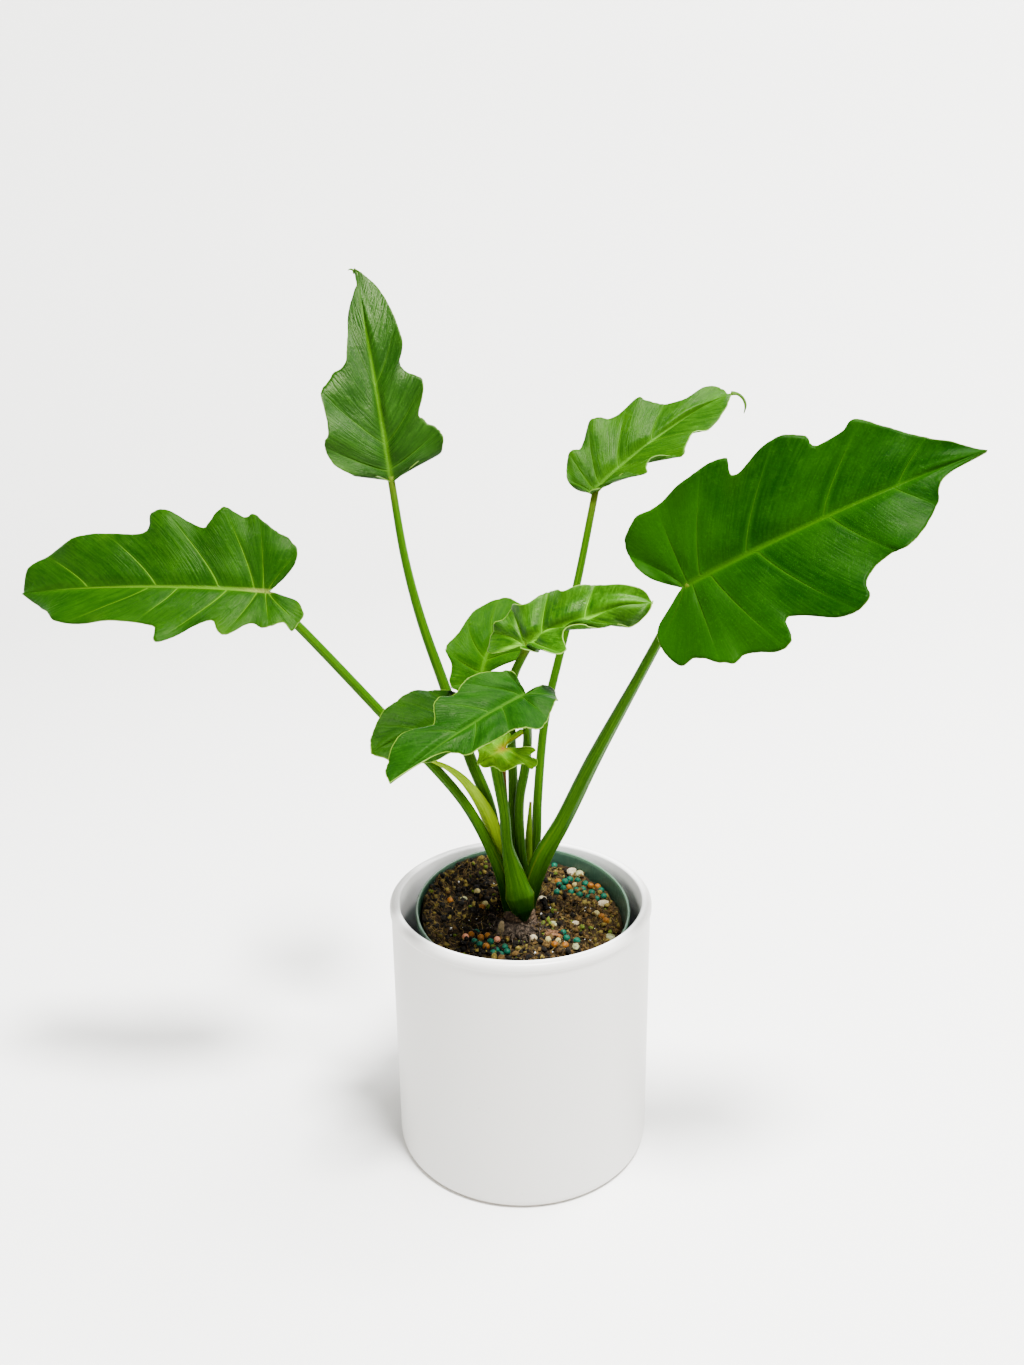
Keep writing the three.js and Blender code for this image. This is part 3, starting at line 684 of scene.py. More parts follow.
class Blade:
    """A leaf's surface: where a point lies that is so far out from the midrib and along it."""

    def __init__(self, name):
        self.spec = BLADES[name]
        self.joint = Vector(self.spec["joint"])
        self.tip = Vector(self.spec["tip"])
        self.length = (self.tip - self.joint).length
        along = (self.tip - self.joint) / self.length
        self.up = facing(self.spec["faces"], along)
        across = along.cross(self.up)
        middle = (self.joint + self.tip) / 2
        self.control = middle + self.up * 2 * self.spec["arch"] + across * 2 * self.spec["bow"]
        self.margins = {}
        self.stations = {}
        for side, key in ((-1, "left"), (1, "right")):
            points = [(0, 0), *self.spec[key], (0, self.length)]
            self.margins[side] = [Vector(p) for p in points]
            last = len(points) - 1
            veins = self.spec[key + "_veins"]
            ends = [(place / last, foot) for place, foot in veins]
            self.stations[side] = [(0, 0), *ends, (1, self.length)]

    def midrib(self, share):
        rest = 1 - share
        return self.joint * rest**2 + self.control * 2 * share * rest + self.tip * share**2

    def tangent(self, share):
        """The way the midrib runs there."""
        start, end = self.control - self.joint, self.tip - self.control
        return (start * (1 - share) + end * share).normalized()

    def point(self, side, out, distance, lift=0):
        """The point so far out and along on one side, lifted off the surface by lift."""
        share = distance / self.length
        inside = min(1, max(0, share))
        tangent = self.tangent(inside)
        normal = (self.up - tangent * self.up.dot(tangent)).normalized()
        across = tangent.cross(normal)
        first, last = self.spec["fold"][0 if side < 0 else 1]
        fold = math.radians(lerp(first, last, inside))
        rise = out / (self.length * FULL_BEND)
        back = max(0, -distance) / (self.length * FULL_BEND)
        height, step, start = self.spec["ripple"]
        wave = math.cos(math.tau * (distance - start) / step)
        lift += height * rise * rise * wave - self.spec["droop"] * back * back
        if share < 0:
            point = self.joint + (self.control - self.joint) * 2 * share
        else:
            point = self.midrib(inside)
        up = out * math.sin(fold) + lift
        return point + across * side * out * math.cos(fold) + normal * up

    def row(self, side, count):
        """Where a row meets the margin (its share), where it starts along the midrib, and its
        place among the main veins, a whole number at each. Rows crowd near the veins."""
        stations = self.stations[side]
        place = count * (len(stations) - 1)
        knot = min(len(stations) - 2, int(place))
        t = place - knot
        crowded = t - 0.1 * math.sin(math.tau * t)
        share = lerp(stations[knot][0], stations[knot + 1][0], crowded)
        foot = lerp(stations[knot][1], stations[knot + 1][1], crowded)
        return share, foot, knot + crowded


# Veins run at first straight out and then toward the tip: the power that bends them

VEIN_BEND = 1.25

# The two halves' veins start at one foot, up to this share of the way out

JOINED_FEET = 0.03

# How far a margin strays in mm, in long and in short steps

FRAY_LONG = 0.9
FRAY_SHORT = 0.35


def frayed(blade, side, share):
    """The margin's point, with the small unevenness of a real leaf's edge."""
    margin = catmull_rom(blade.margins[side], share)
    where = Vector((share * len(blade.margins[side]) * 1.6, side * 3.1, blade.length))
    uneven = noise.noise(where) * FRAY_LONG + noise.noise(where * 3.3) * FRAY_SHORT
    return margin + margin.normalized() * uneven * smooth(0, 0.05, share) * smooth(1, 0.93, share)


def blade_values(blade, side, count, outward):
    """How far out and along a row's point lies at this share of the way out, and what the
    finish reads there."""
    share, foot, place = blade.row(side, count)
    margin = frayed(blade, side, share)
    if outward < JOINED_FEET:
        shared_foot = (blade.row(-1, count)[1] + blade.row(1, count)[1]) / 2
        foot = lerp(shared_foot, foot, outward / JOINED_FEET)
    out = margin.x * outward
    distance = foot + (margin.y - foot) * outward**VEIN_BEND
    reach = (margin - Vector((0, foot))).length
    stations = blade.stations[side]
    knot = min(len(stations) - 2, int(place))
    step = 0.01
    ahead = catmull_rom(blade.margins[side], min(1, share + step))
    behind = catmull_rom(blade.margins[side], max(0, share - step))
    edge_run = (ahead - behind).length / (2 * step) * (stations[knot + 1][0] - stations[knot][0])
    foot_run = stations[knot + 1][1] - stations[knot][1]
    gap = max(0.5, lerp(foot_run, edge_run, outward))
    return out, distance, {
        "place": place, "gap": gap, "rib": abs(out), "edge": reach * (1 - outward),
        "ahead": min(1, max(0, distance / blade.length)),
    }


# Bulges reach their full height where veins are this far apart, and the midrib lies in a
# groove of this depth and half width, in mm

FULL_GAP = 10
GROOVE_DEPTH = 0.5
GROOVE_HALF = 1.6


def blade_lift(blade, side, values, outward, seed):
    """Relief in mm: sunk veins and midrib, bulges between them and a waved margin."""
    spec = blade.spec
    place = values["place"]
    between = math.sin(math.pi * (place % 1)) ** 0.9
    broad = min(1, values["gap"] / FULL_GAP)
    taper = 1 - smooth(0.4, 0.85, values["ahead"])
    bulge = spec["quilt"] * between * broad * smooth(0, 0.25, outward) * lerp(1, 0.45, outward)
    bulge *= 1 - 0.7 * smooth(0.75, 1, values["ahead"])
    groove = GROOVE_DEPTH * math.exp(-(values["rib"] / GROOVE_HALF) ** 2) * taper
    wave = math.sin(math.tau * (place * 0.9 + 0.37 * side + seed))
    edge = spec["wave"] * outward**3 * wave
    wander = noise.noise(Vector((place * 0.6, outward * 2.2, seed * 7 + side)))
    return bulge * (0.8 + 0.5 * wander) - groove + edge + 0.7 * wander * outward


def add_blade(name, finishes, thickness, seed):
    """A blade with its thickness. finishes are those of its top, its underside and its edge."""
    blade = Blade(name)
    bm = new_mesh(BLADE_VALUES)

    def place(u, v):
        x = 2 * u - 1
        side = -1 if x < 0 else 1
        outward = abs(x) ** 1.2
        out, distance, values = blade_values(blade, side, v, outward)
        lift = blade_lift(blade, side, values, outward, seed)
        return blade.point(side, out, distance, lift), values

    rows = int(blade.length * BLADE_ROWS_PER_MM) + BLADE_ROWS
    add_grid(bm, 2 * BLADE_HALF, rows, place)
    bmesh.ops.remove_doubles(bm, verts=bm.verts, dist=MERGE)
    bm.normal_update()
    if sum(face.normal.dot(blade.up) for face in bm.faces) < 0:
        bmesh.ops.reverse_faces(bm, faces=bm.faces)
    label = name.replace("leaf", "blade")
    piece = add_piece(label, bm, finishes, [name], weld=False)
    shell = piece.modifiers.new("Thickness", "SOLIDIFY")
    shell.thickness = thickness
    shell.offset = 0
    shell.use_even_offset = False
    shell.material_offset = 1
    shell.material_offset_rim = 2


def sweep(bm, kind, centres, half_widths, faces, depths, shape=None):
    """A tube along a curve, open at its ends. depths are how deep it is for its width, at its
    foot and from its middle on, toward the way it faces. shape(angle) scales the section."""

    def place(u, v):
        centre = curve_through(centres, v)
        ahead, behind = min(1, v + 0.005), max(0, v - 0.005)
        along = (curve_through(centres, ahead) - curve_through(centres, behind)).normalized()
        front = facing(faces, along)
        side = along.cross(front)
        angle = math.tau * (u % 1)
        width = from_table(half_widths, v * (len(centres) - 1))
        flat = lerp(depths[0], depths[1], min(1, v * 2))
        scale = shape(angle) if shape else 1
        offset = side * math.sin(angle) + front * math.cos(angle) * flat
        values = {"turn_x": math.cos(angle), "turn_y": math.sin(angle), "way": v}
        return centre + offset * width * scale, values

    add_grid(bm, *CELLS[kind], place)


STALK_TOPS = {spec["blade"]: spec["half_widths"][-1] for spec in STALKS.values()}

# The ribs under a blade: how much of the midrib and of a main vein they follow, in how many
# spans, and the blade length in mm that their widths are given for

MIDRIB_REACH = (0.012, 0.93)
MIDRIB_SPANS = 14
VEIN_REACH = (0.03, 0.86)
VEIN_SPANS = 8
RIB_BLADE_LENGTH = 115


def add_ribs(name, finish, seed):
    """The raised midrib and main veins on a leaf's underside."""
    blade = Blade(name)
    bm = new_mesh(TUBE_VALUES)
    size = blade.length / RIB_BLADE_LENGTH
    spans = [k / MIDRIB_SPANS for k in range(MIDRIB_SPANS + 1)]
    widths = [lerp(STALK_TOPS[name] * 0.92, 0.25 * size, span**0.6) for span in spans]
    centres = []
    for span, width in zip(spans, widths):
        distance = lerp(*MIDRIB_REACH, span) * blade.length
        centres.append(blade.point(1, 0, distance, -0.45 - 0.7 * width))
    sweep(bm, "midrib", centres, widths, blade.up, (0.75, 0.75))
    spans = [k / VEIN_SPANS for k in range(VEIN_SPANS + 1)]
    for side in (-1, 1):
        last = len(blade.stations[side]) - 1
        for knot in range(1, last):
            share = blade.stations[side][knot][0]
            reach = min(1, catmull_rom(blade.margins[side], share).length / 30) * size**0.5
            widths = [lerp(0.75, 0.16, span**0.6) * reach for span in spans]
            points = []
            for span, width in zip(spans, widths):
                outward = lerp(*VEIN_REACH, span)
                out, distance, values = blade_values(blade, side, knot / last, outward)
                lift = blade_lift(blade, side, values, outward, seed)
                points.append(blade.point(side, out, distance, lift - 0.25 - 0.8 * width))
            sweep(bm, "vein", points, widths, blade.up, (0.8, 0.8))
    close_ends(bm)
    add_piece(name.replace("leaf", "ribs"), bm, [finish])


# Stalks and scale leaves


def stalk_centres(spec):
    """The stalk's route, on to where it meets the underside of its midrib."""
    points = [Vector(p) for p in spec["route"]]
    if "blade" in spec:
        blade = Blade(spec["blade"])
        seat = blade.point(1, 0, SEAT_AHEAD)
        points.append(seat - blade.up * SEAT_SINK * spec["half_widths"][-1])
    return points


def stalk_section(angle):
    """A round section with a shallow groove between two low ridges on its front."""
    turn = (angle + math.pi) % math.tau - math.pi
    groove = 0.10 * math.exp(-((turn / 0.35) ** 2))
    ridges = 0.05 * math.exp(-(((abs(turn) - 0.62) / 0.22) ** 2))
    return 1 - groove + ridges


def add_stalk(name, spec, finish, shape):
    """A stalk or a scale leaf, closed at both ends."""
    bm = new_mesh(TUBE_VALUES)
    centres = stalk_centres(spec)
    sweep(bm, "stalk", centres, spec["half_widths"], spec["faces"], spec["depth"], shape)
    close_ends(bm)
    label = name.replace("stalk", "petiole").replace("cataphyll", "scale_leaf")
    add_piece(label, bm, [finish], [name])


def keeled_section(angle):
    """A scale leaf's section: sharp at both edges, with a keel along its front."""
    turn = (angle + math.pi) % math.tau - math.pi
    keel = 0.28 * math.exp(-((turn / 0.16) ** 2))
    return 1 + keel - 0.25 * abs(math.cos(angle)) * abs(math.sin(angle))


# Finishes

# Each leaf finish: darkest and lightest green, its midrib's colour and width in mm, how
# strong its main veins and its pale edge are, its gloss, how many fine veins lie between
# two main ones and how strong its streaks are, which raise relief and paint sheen into the
# colour. Some also say how strong is the painted shade in the hollows beside the veins, the
# lighter lobes, a pebbled surface, a red blush and a beige foot.

LEAF_COLOURS = {
    "leaf_deep": {
        "dark": (0.0017, 0.016, 0.0001), "light": (0.0076, 0.036, 0.0001),
        "vein": (0.034, 0.088, 0.0016), "rib": 1.5, "veins": 0.8, "edge": 0.3, "gloss": 0.035,
        "fine": 18, "streaks_and_sheen": 0.4, "beige": 0.8,
    },
    "leaf_dark": {
        "dark": (0.0006, 0.012, 0.0001), "light": (0.0054, 0.033, 0.0002),
        "vein": (0.0088, 0.039, 0.0002), "rib": 2.0, "veins": 0.6, "edge": 0.2, "gloss": 0.012,
        "fine": 18, "lobes": 0.5, "streaks_and_sheen": 0.18,
    },
    "leaf_silver": {
        "dark": (0.0019, 0.015, 0.0003), "light": (0.0069, 0.031, 0.0009),
        "vein": (0.022, 0.067, 0.0006), "rib": 2.0, "veins": 0.4, "edge": 0.25, "gloss": 0.09,
        "fine": 20, "streaks_and_sheen": 0.6,
    },
    "leaf_fresh": {
        "dark": (0.0038, 0.023, 0.0002), "light": (0.016, 0.060, 0.0005),
        "vein": (0.028, 0.088, 0.0025), "rib": 1.6, "veins": 0.6, "edge": 0.4, "gloss": 0.045,
        "fine": 10, "streaks_and_sheen": 0.35,
    },
    "leaf_bright": {
        "dark": (0.0024, 0.022, 0.0001), "light": (0.033, 0.115, 0.0008),
        "vein": (0.072, 0.200, 0.0040), "rib": 2.4, "veins": 0.75, "edge": 0.6, "gloss": 0.08,
        "fine": 9, "painted_hollow_shade": 1.0, "streaks_and_sheen": 0.2,
    },
    "leaf_vivid": {
        "dark": (0.0033, 0.024, 0.0001), "light": (0.014, 0.054, 0.0002),
        "vein": (0.024, 0.076, 0.0009), "rib": 1.6, "veins": 0.5, "edge": 0.5, "gloss": 0.015,
        "fine": 9, "streaks_and_sheen": 0.3,
    },
    "leaf_blue": {
        "dark": (0.0016, 0.015, 0.0005), "light": (0.0065, 0.036, 0.0011),
        "vein": (0.015, 0.053, 0.0020), "rib": 1.15, "veins": 0.65, "edge": 0.6, "gloss": 0.025,
        "fine": 10, "streaks_and_sheen": 0.3,
    },
    "leaf_mottled": {
        "dark": (0.0009, 0.0098, 0.0001), "light": (0.0069, 0.030, 0.0003),
        "vein": (0.0090, 0.033, 0.0005), "rib": 1.1, "veins": 0.4, "edge": 0.4, "gloss": 0.02,
        "fine": 9, "pebbled": 0.8, "streaks_and_sheen": 0.35,
    },
    "leaf_young": {
        "dark": (0.015, 0.056, 0.0001), "light": (0.070, 0.170, 0.0001),
        "vein": (0.070, 0.140, 0.0006), "rib": 1.0, "veins": 0.5, "edge": 0.4, "gloss": 0.01,
        "fine": 5, "streaks_and_sheen": 0.3, "painted_hollow_shade": 1.0, "blush": 0.75,
    },
}
EDGE_PALE = (0.125, 0.210, 0.020)
UNDER_PALE = (0.018, 0.058, 0.006)
BLUSH = (0.095, 0.042, 0.0004)
BEIGE = (0.085, 0.095, 0.018)
GLOSS_TINT = (0.75, 1.0, 0.40)


def leaf_upper(name):
    """Glossy leaf: pale midrib, veins and edge, fine parallel veins and mottled green."""
    colours = LEAF_COLOURS[name]
    paint = Paint(name)
    place = paint.attribute("place")
    gap = paint.attribute("gap")
    rib = paint.attribute("rib")
    edge = paint.attribute("edge")
    ahead = paint.attribute("ahead")
    outward = rib / (rib + edge + 0.01)

    wobble = (paint.noise(260, 2) - 0.5) * 0.5
    vein_distance = abs((place + 0.5).fraction() - 0.5) * gap + wobble * 0.4
    vein_width = 0.46 - 0.36 * outward
    vein = 1 - paint.ramp(vein_distance, vein_width * 0.4, vein_width * 1.5)
    vein = vein * (1 - paint.ramp(outward, 0.45, 0.85)) * paint.ramp(gap, 1.0, 3.0)
    vein = vein * paint.ramp(rib, 0.3, 1.5)
    rib_width = colours["rib"] * (1.0 - 0.82 * ahead)
    midrib = 1 - paint.ramp(rib + wobble * 0.3, rib_width * 0.25, rib_width * 1.15)
    midrib = midrib * (1 - paint.ramp(ahead, 0.6, 0.97))

    fine_distance = abs((place * colours["fine"] + 0.5).fraction() - 0.5)
    fine = 1 - paint.ramp(fine_distance, 0.08, 0.3)
    patchy = paint.noise(70, 3)
    fine = fine * paint.ramp(gap, 3.0, 9.0) * patchy
    along_veins = paint.add("ShaderNodeCombineXYZ", {}, place * 23, outward * 2.5, 0.0)
    streak_and_sheen = paint.ramp(paint.noise(1.0, 3, 0.6, along_veins), 0.35, 0.65)

    mottle = paint.ramp(paint.noise(38, 4, 0.6), 0.3, 0.7)
    flecks = paint.ramp(paint.noise(240, 4, 0.65), 0.5, 0.75)
    grain = paint.noise(900, 2)
    # Painted sheen: the streaks lighten the green along the fine veins; they also raise relief and
    # roughness
    lightness = mottle * 0.4 + fine * 0.12 + (streak_and_sheen - 0.35) * colours["streaks_and_sheen"]
    lightness = lightness + flecks * 0.25 + (grain - 0.5) * 0.3
    green = paint.mix(lightness, colours["dark"], colours["light"])
    near_vein = 1 - paint.ramp(vein_distance + outward * 1.5, 0.3, 3.2)
    near_rib = 1 - paint.ramp(rib, 0.5, 4.5)
    # Painted shade: the green is darkened in the hollows a little way off each vein, as if in
    # shadow
    painted_hollow_shade = paint.ramp(vein_distance, 0.6, 1.8) * (1 - paint.ramp(vein_distance, 2.2, 4.5))
    painted_hollow_shade = painted_hollow_shade * (1 - paint.ramp(outward, 0.25, 0.75)) * (1 - near_rib)
    green = paint.mix(painted_hollow_shade * colours.get("painted_hollow_shade", 0.7), green, colours["dark"])
    lobes = 1 - paint.ramp(ahead, 0.02, 0.3)
    green = paint.mix(lobes * colours.get("lobes", 0), green, colours["light"])
    green = paint.mix(near_vein * 0.4 + near_rib * 0.35, green, colours["light"])
    yellowed = paint.ramp(paint.noise(26, 2), 0.55, 0.72) * paint.ramp(outward, 0.5, 1.0)
    green = paint.mix(yellowed * 0.3, green, colours["vein"])
    green = paint.mix(vein * colours["veins"], green, colours["vein"])
    green = paint.mix(midrib * 0.95, green, colours["vein"])
    rim = 1 - paint.ramp(edge, 0.05, 0.45)
    green = paint.mix(rim * colours["edge"], green, EDGE_PALE)
    if "blush" in colours:
        blush = (1 - paint.ramp(rib, 0.3, 3.5)) * (1 - paint.ramp(ahead, 0.1, 0.55))
        green = paint.mix(blush * colours["blush"], green, BLUSH)
    if "beige" in colours:
        beige = midrib * (1 - paint.ramp(ahead, 0.02, 0.16))
        green = paint.mix(beige * colours["beige"], green, BEIGE)

    relief = vein * -0.6 + midrib * 0.3 + grain * 0.25 + patchy * 0.6
    height = relief + streak_and_sheen * colours["streaks_and_sheen"] * 0.8 + flecks * colours.get("pebbled", 0.3)
    return paint.finish(
        Base_Color=green, Roughness=0.27 + patchy * 0.14 + streak_and_sheen * 0.08,
        Specular_IOR_Level=colours["gloss"], Specular_Tint=GLOSS_TINT,
        Normal=paint.bump(height, 0.0003),
    )


def leaf_under(name):
    """The duller, paler underside."""
    colours = LEAF_COLOURS[name]
    paint = Paint(name + "_under")
    mottle = paint.ramp(paint.noise(60, 4, 0.6), 0.3, 0.7)
    fine = 1 - paint.ramp(abs((paint.attribute("place") * 9 + 0.5).fraction() - 0.5), 0.05, 0.25)
    dull = paint.mix(0.5, colours["dark"], UNDER_PALE)
    pale = paint.mix(0.5, colours["light"], UNDER_PALE)
    green = paint.mix(mottle * 0.6 + fine * 0.2, dull, pale)
    height = fine * 0.5 + paint.noise(700, 2) * 0.4
    return paint.finish(
        Base_Color=green, Roughness=0.5 + mottle * 0.1, Specular_IOR_Level=0.05,
        Specular_Tint=GLOSS_TINT, Normal=paint.bump(height, 0.0002),
    )


def leaf_rim(name):
    """The thin pale edge of a leaf."""
    colours = LEAF_COLOURS[name]
    paint = Paint(name + "_rim")
    share = paint.ramp(paint.noise(120, 2), 0.3, 0.7)
    return paint.finish(
        Base_Color=paint.mix(share * 0.3 + colours["edge"] * 0.7, colours["light"], EDGE_PALE),
        Roughness=0.45, Specular_IOR_Level=0.2,
    )


# Each stalk finish: its dark and light stripes, and its colours at the foot and the top

STALK_COLOURS = {
    "stalk_green": {
        "dark": (0.0034, 0.026, 0.0001), "light": (0.028, 0.080, 0.0004),
        "foot": (0.0007, 0.0080, 0.0001), "top": (0.036, 0.052, 0.0028),
    },
    "stalk_red": {
        "dark": (0.028, 0.014, 0.0024), "light": (0.072, 0.038, 0.0080),
        "foot": (0.025, 0.045, 0.0042), "top": (0.128, 0.040, 0.014),
    },
    "scale_leaf": {
        "dark": (0.080, 0.165, 0.0004), "light": (0.205, 0.305, 0.0020),
        "foot": (0.022, 0.070, 0.0002), "top": (0.176, 0.250, 0.008),
    },
    "scale_leaf_dried": {
        "dark": (0.028, 0.076, 0.0008), "light": (0.080, 0.136, 0.0048),
        "foot": (0.021, 0.056, 0.0007), "top": (0.060, 0.028, 0.0096),
    },
    "leaf_ribs": {
        "dark": (0.022, 0.060, 0.0045), "light": (0.045, 0.094, 0.011),
        "foot": (0.034, 0.075, 0.0075), "top": (0.034, 0.075, 0.0075),
    },
}

# How far round from its front the two pale edges of a stalk's sheath are, in radians

SHEATH_EDGE = 1.35


def stalk_finish(name):
    """Smooth stalk with long stripes, pale sheath edges and other colours at its ends."""
    colours = STALK_COLOURS[name]
    paint = Paint(name)
    cosine, sine = paint.attribute("turn_x"), paint.attribute("turn_y")
    way = paint.attribute("way")
    drawn_out = paint.add("ShaderNodeCombineXYZ", {}, cosine * 2.2, sine * 2.2, way * 2.0)
    stripes = paint.ramp(paint.noise(2.6, 4, 0.65, drawn_out), 0.38, 0.66)
    cells = paint.noise(1500, 2)
    share = stripes * 0.5 + 0.2 + (cells - 0.5) * 0.3
    green = paint.mix(share, colours["dark"], colours["light"])
    green = paint.mix((1 - paint.ramp(way, 0.1, 0.38)) * 0.95, green, colours["foot"])
    edge = 1 - paint.ramp(abs(abs(sine.angle(cosine)) - SHEATH_EDGE), 0.03, 0.12)
    edge = edge * (1 - paint.ramp(way, 0.3, 0.45))
    green = paint.mix(edge * 0.75, green, colours["top"])
    green = paint.mix(paint.ramp(way, 0.93, 1.0) * 0.75, green, colours["top"])
    height = stripes * 0.25 + cells * 0.25 + edge * 0.8
    return paint.finish(
        Base_Color=green, Roughness=0.36 + stripes * 0.1, Specular_IOR_Level=0.03,
        Specular_Tint=GLOSS_TINT, Normal=paint.bump(height, 0.00018),
    )


SPECK = (0.24, 0.21, 0.15)
# Painted light: the brighter colour of the lip's inner half and the top of the inner wall
LIT_LIP = (0.80, 0.80, 0.78)
# Painted shade: the dark colour that the inside of the ceramic pot is painted deep down
PAINTED_SHADE_INSIDE = (0.110, 0.140, 0.135)
BARE_CLAY = (0.47, 0.36, 0.24)
DUST = (0.09, 0.08, 0.05)
PLASTIC_RIM = (0.040, 0.088, 0.052)


def glaze_finish(colour):
    """Satin white glaze with faint pits, painted shade deep inside, painted light on the lip and
    the top of the inner wall, and bare clay round the foot.
    """
    inner = (CERAMIC["radius"] - CERAMIC["wall"] * 0.7) * MM
    lip_middle = (CERAMIC["radius"] - CERAMIC["wall"] * 0.2) * MM
    paint = Paint("white_glaze")
    cloud = paint.noise(14, 3)
    chosen = paint.ramp(paint.noise(60, 1), 0.56, 0.62)
    speck = (1 - paint.ramp(paint.cells(210), 0.035, 0.075)) * chosen
    base = paint.mix(cloud * 0.5, colour, tuple(c * 0.95 for c in colour))
    base = paint.mix(speck * 0.7, base, SPECK)
    x, y, z = paint.axis("X"), paint.axis("Y"), paint.axis("Z")
    from_axis = x * x + y * y
    inside = 1 - paint.ramp(from_axis, inner**2 - 1e-5, inner**2 + 1e-5)
    # Painted light: the inside above about 105 mm, out to the middle of the lip's top, is painted
    # lighter
    lit = 1 - paint.ramp(from_axis, inner**2, lip_middle**2)
    base = paint.mix(lit * paint.ramp(z, 0.1, 0.11) * 0.7, base, LIT_LIP)
    # Painted shade: the inside below about 111 to 117 mm is painted dark, for the shadow in the
    # gap between the pots
    deep = inside * (1 - paint.ramp(z, 0.111, 0.117))
    base = paint.mix(deep * 0.8, base, PAINTED_SHADE_INSIDE)
    foot = 1 - paint.ramp(z + (cloud - 0.5) * 0.0006, 0.0006, 0.0013)
    base = paint.mix(foot * 0.85, base, BARE_CLAY)
    height = paint.noise(120, 3) * 0.5 + paint.noise(18, 2) * 2.0 - speck * 1.5
    return paint.finish(
        Base_Color=base, Roughness=0.34 + cloud * 0.1 + foot * 0.3,
        Normal=paint.bump(height, 0.0001),
    )


def plastic_finish(colour):
    """Thin green plastic, scuffed and dusted with soil, with a paler rim."""
    paint = Paint("green_plastic")
    dust = paint.ramp(paint.noise(150, 5, 0.7), 0.55, 0.75)
    scuff = paint.noise(30, 3)
    base = paint.mix(scuff * 0.4, colour, tuple(c * 1.7 for c in colour))
    base = paint.mix(dust * 0.25, base, DUST)
    axis = LEAN.to_3x3() @ Vector((0, 0, 1))
    level = axis.dot(Vector(NURSERY["rim_centre"])) * MM
    x, y, z = paint.axis("X"), paint.axis("Y"), paint.axis("Z")
    up = x * axis.x + y * axis.y + z * axis.z - level
    rim = paint.ramp(up, -0.0022, -0.0010)
    base = paint.mix(rim * 0.9, base, PLASTIC_RIM)
    around = paint.add("ShaderNodeCombineXYZ", {}, y.angle(x) * 60, 0.0, 0.0)
    ribs = paint.noise(1.0, 1, vector=around)
    height = paint.noise(500, 2) * 0.4 + dust * 0.5 + ribs * 2.0
    return paint.finish(
        Base_Color=base, Roughness=0.42 + dust * 0.3, Normal=paint.bump(height, 0.0001),
    )


# Each earthy finish: its dark, its light and its golden bits

EARTH_COLOURS = {
    "potting_soil": ((0.0012, 0.0009, 0.0005), (0.019, 0.0115, 0.0035), (0.085, 0.062, 0.009)),
    "stem_base": ((0.011, 0.0068, 0.0040), (0.056, 0.035, 0.020), (0.080, 0.050, 0.027)),
    "roots": ((0.0080, 0.0056, 0.0042), (0.046, 0.033, 0.022), (0.088, 0.066, 0.043)),
}

# The finish of each small kind: its dark, its light and its roughness. A kind's place in its
# table is its material's number in the piece.

CRUMBS = {
    "crumb_black": ((0.0008, 0.0008, 0.0006), (0.0050, 0.0038, 0.0021), 0.9),
    "crumb_brown": ((0.0085, 0.0045, 0.0014), (0.060, 0.034, 0.008), 0.9),
    "crumb_gold": ((0.034, 0.024, 0.0033), (0.112, 0.084, 0.016), 0.85),
    "perlite": ((0.240, 0.240, 0.224), (0.480, 0.480, 0.456), 0.75),
    "crumb_moss": ((0.019, 0.030, 0.0015), (0.064, 0.086, 0.0075), 0.85),
}
FIBRES = {
    "fibre_brown": ((0.017, 0.0090, 0.0037), (0.056, 0.034, 0.013), 0.85),
    "fibre_gold": ((0.052, 0.034, 0.0080), (0.128, 0.088, 0.028), 0.8),
    "fibre_black": ((0.0018, 0.0012, 0.0012), (0.0096, 0.0066, 0.0042), 0.9),
}
PRILLS = {
    "prill_teal": ((0.0001, 0.024, 0.012), (0.0003, 0.053, 0.029), 0.5),
    "prill_orange": ((0.066, 0.021, 0.0012), (0.135, 0.052, 0.004), 0.5),
    "prill_cream": ((0.128, 0.106, 0.032), (0.218, 0.186, 0.077), 0.5),
    "prill_salmon": ((0.216, 0.072, 0.036), (0.320, 0.136, 0.072), 0.5),
}
STONES = {
    "pebble_cream": ((0.128, 0.102, 0.051), (0.269, 0.230, 0.154), 0.6),
    "pebble_olive": ((0.077, 0.080, 0.029), (0.192, 0.192, 0.102), 0.55),
    "bark": ((0.036, 0.016, 0.0064), (0.120, 0.060, 0.027), 0.8),
}
DRY_STUB = ((0.030, 0.022, 0.012), (0.120, 0.090, 0.045), 0.8)


def earth_finish(name):
    """Crumbly soil or matted root, with more pale patches toward the right."""
    dark, light, golden_bits = EARTH_COLOURS[name]
    paint = Paint(name)
    grain = paint.noise(650, 4, 0.7)
    patch = paint.ramp(paint.noise(90, 3) + paint.axis("X") * 5.0, 0.38, 0.78)
    base = paint.mix(paint.ramp(grain, 0.35, 0.7), dark, light)
    base = paint.mix(patch * 0.5, base, light)
    golden = paint.ramp(paint.noise(320, 4, 0.75), 0.54, 0.68)
    base = paint.mix(golden * 0.7, base, golden_bits)
    height = grain + paint.noise(1800, 2) * 0.5
    return paint.finish(
        Base_Color=base, Roughness=0.9, Specular_IOR_Level=0.08,
        Normal=paint.bump(height, 0.0006),
    )


def small_finish(name, dark, light, roughness):
    """A crumb, fibre, prill or pebble, mottled between two colours."""
    paint = Paint(name)
    spots = paint.noise(1100, 3, 0.6)
    large = paint.noise(220, 3)
    share = paint.ramp(spots * 0.5 + large * 0.5, 0.36, 0.64)
    return paint.finish(
        Base_Color=paint.mix(share, dark, light), Roughness=roughness,
        Specular_IOR_Level=0.08, Normal=paint.bump(spots, 0.00025),
    )


def small_finishes(kinds):
    """One finish for each kind in a table, in its order."""
    return [small_finish(name, *spec) for name, spec in kinds.items()]


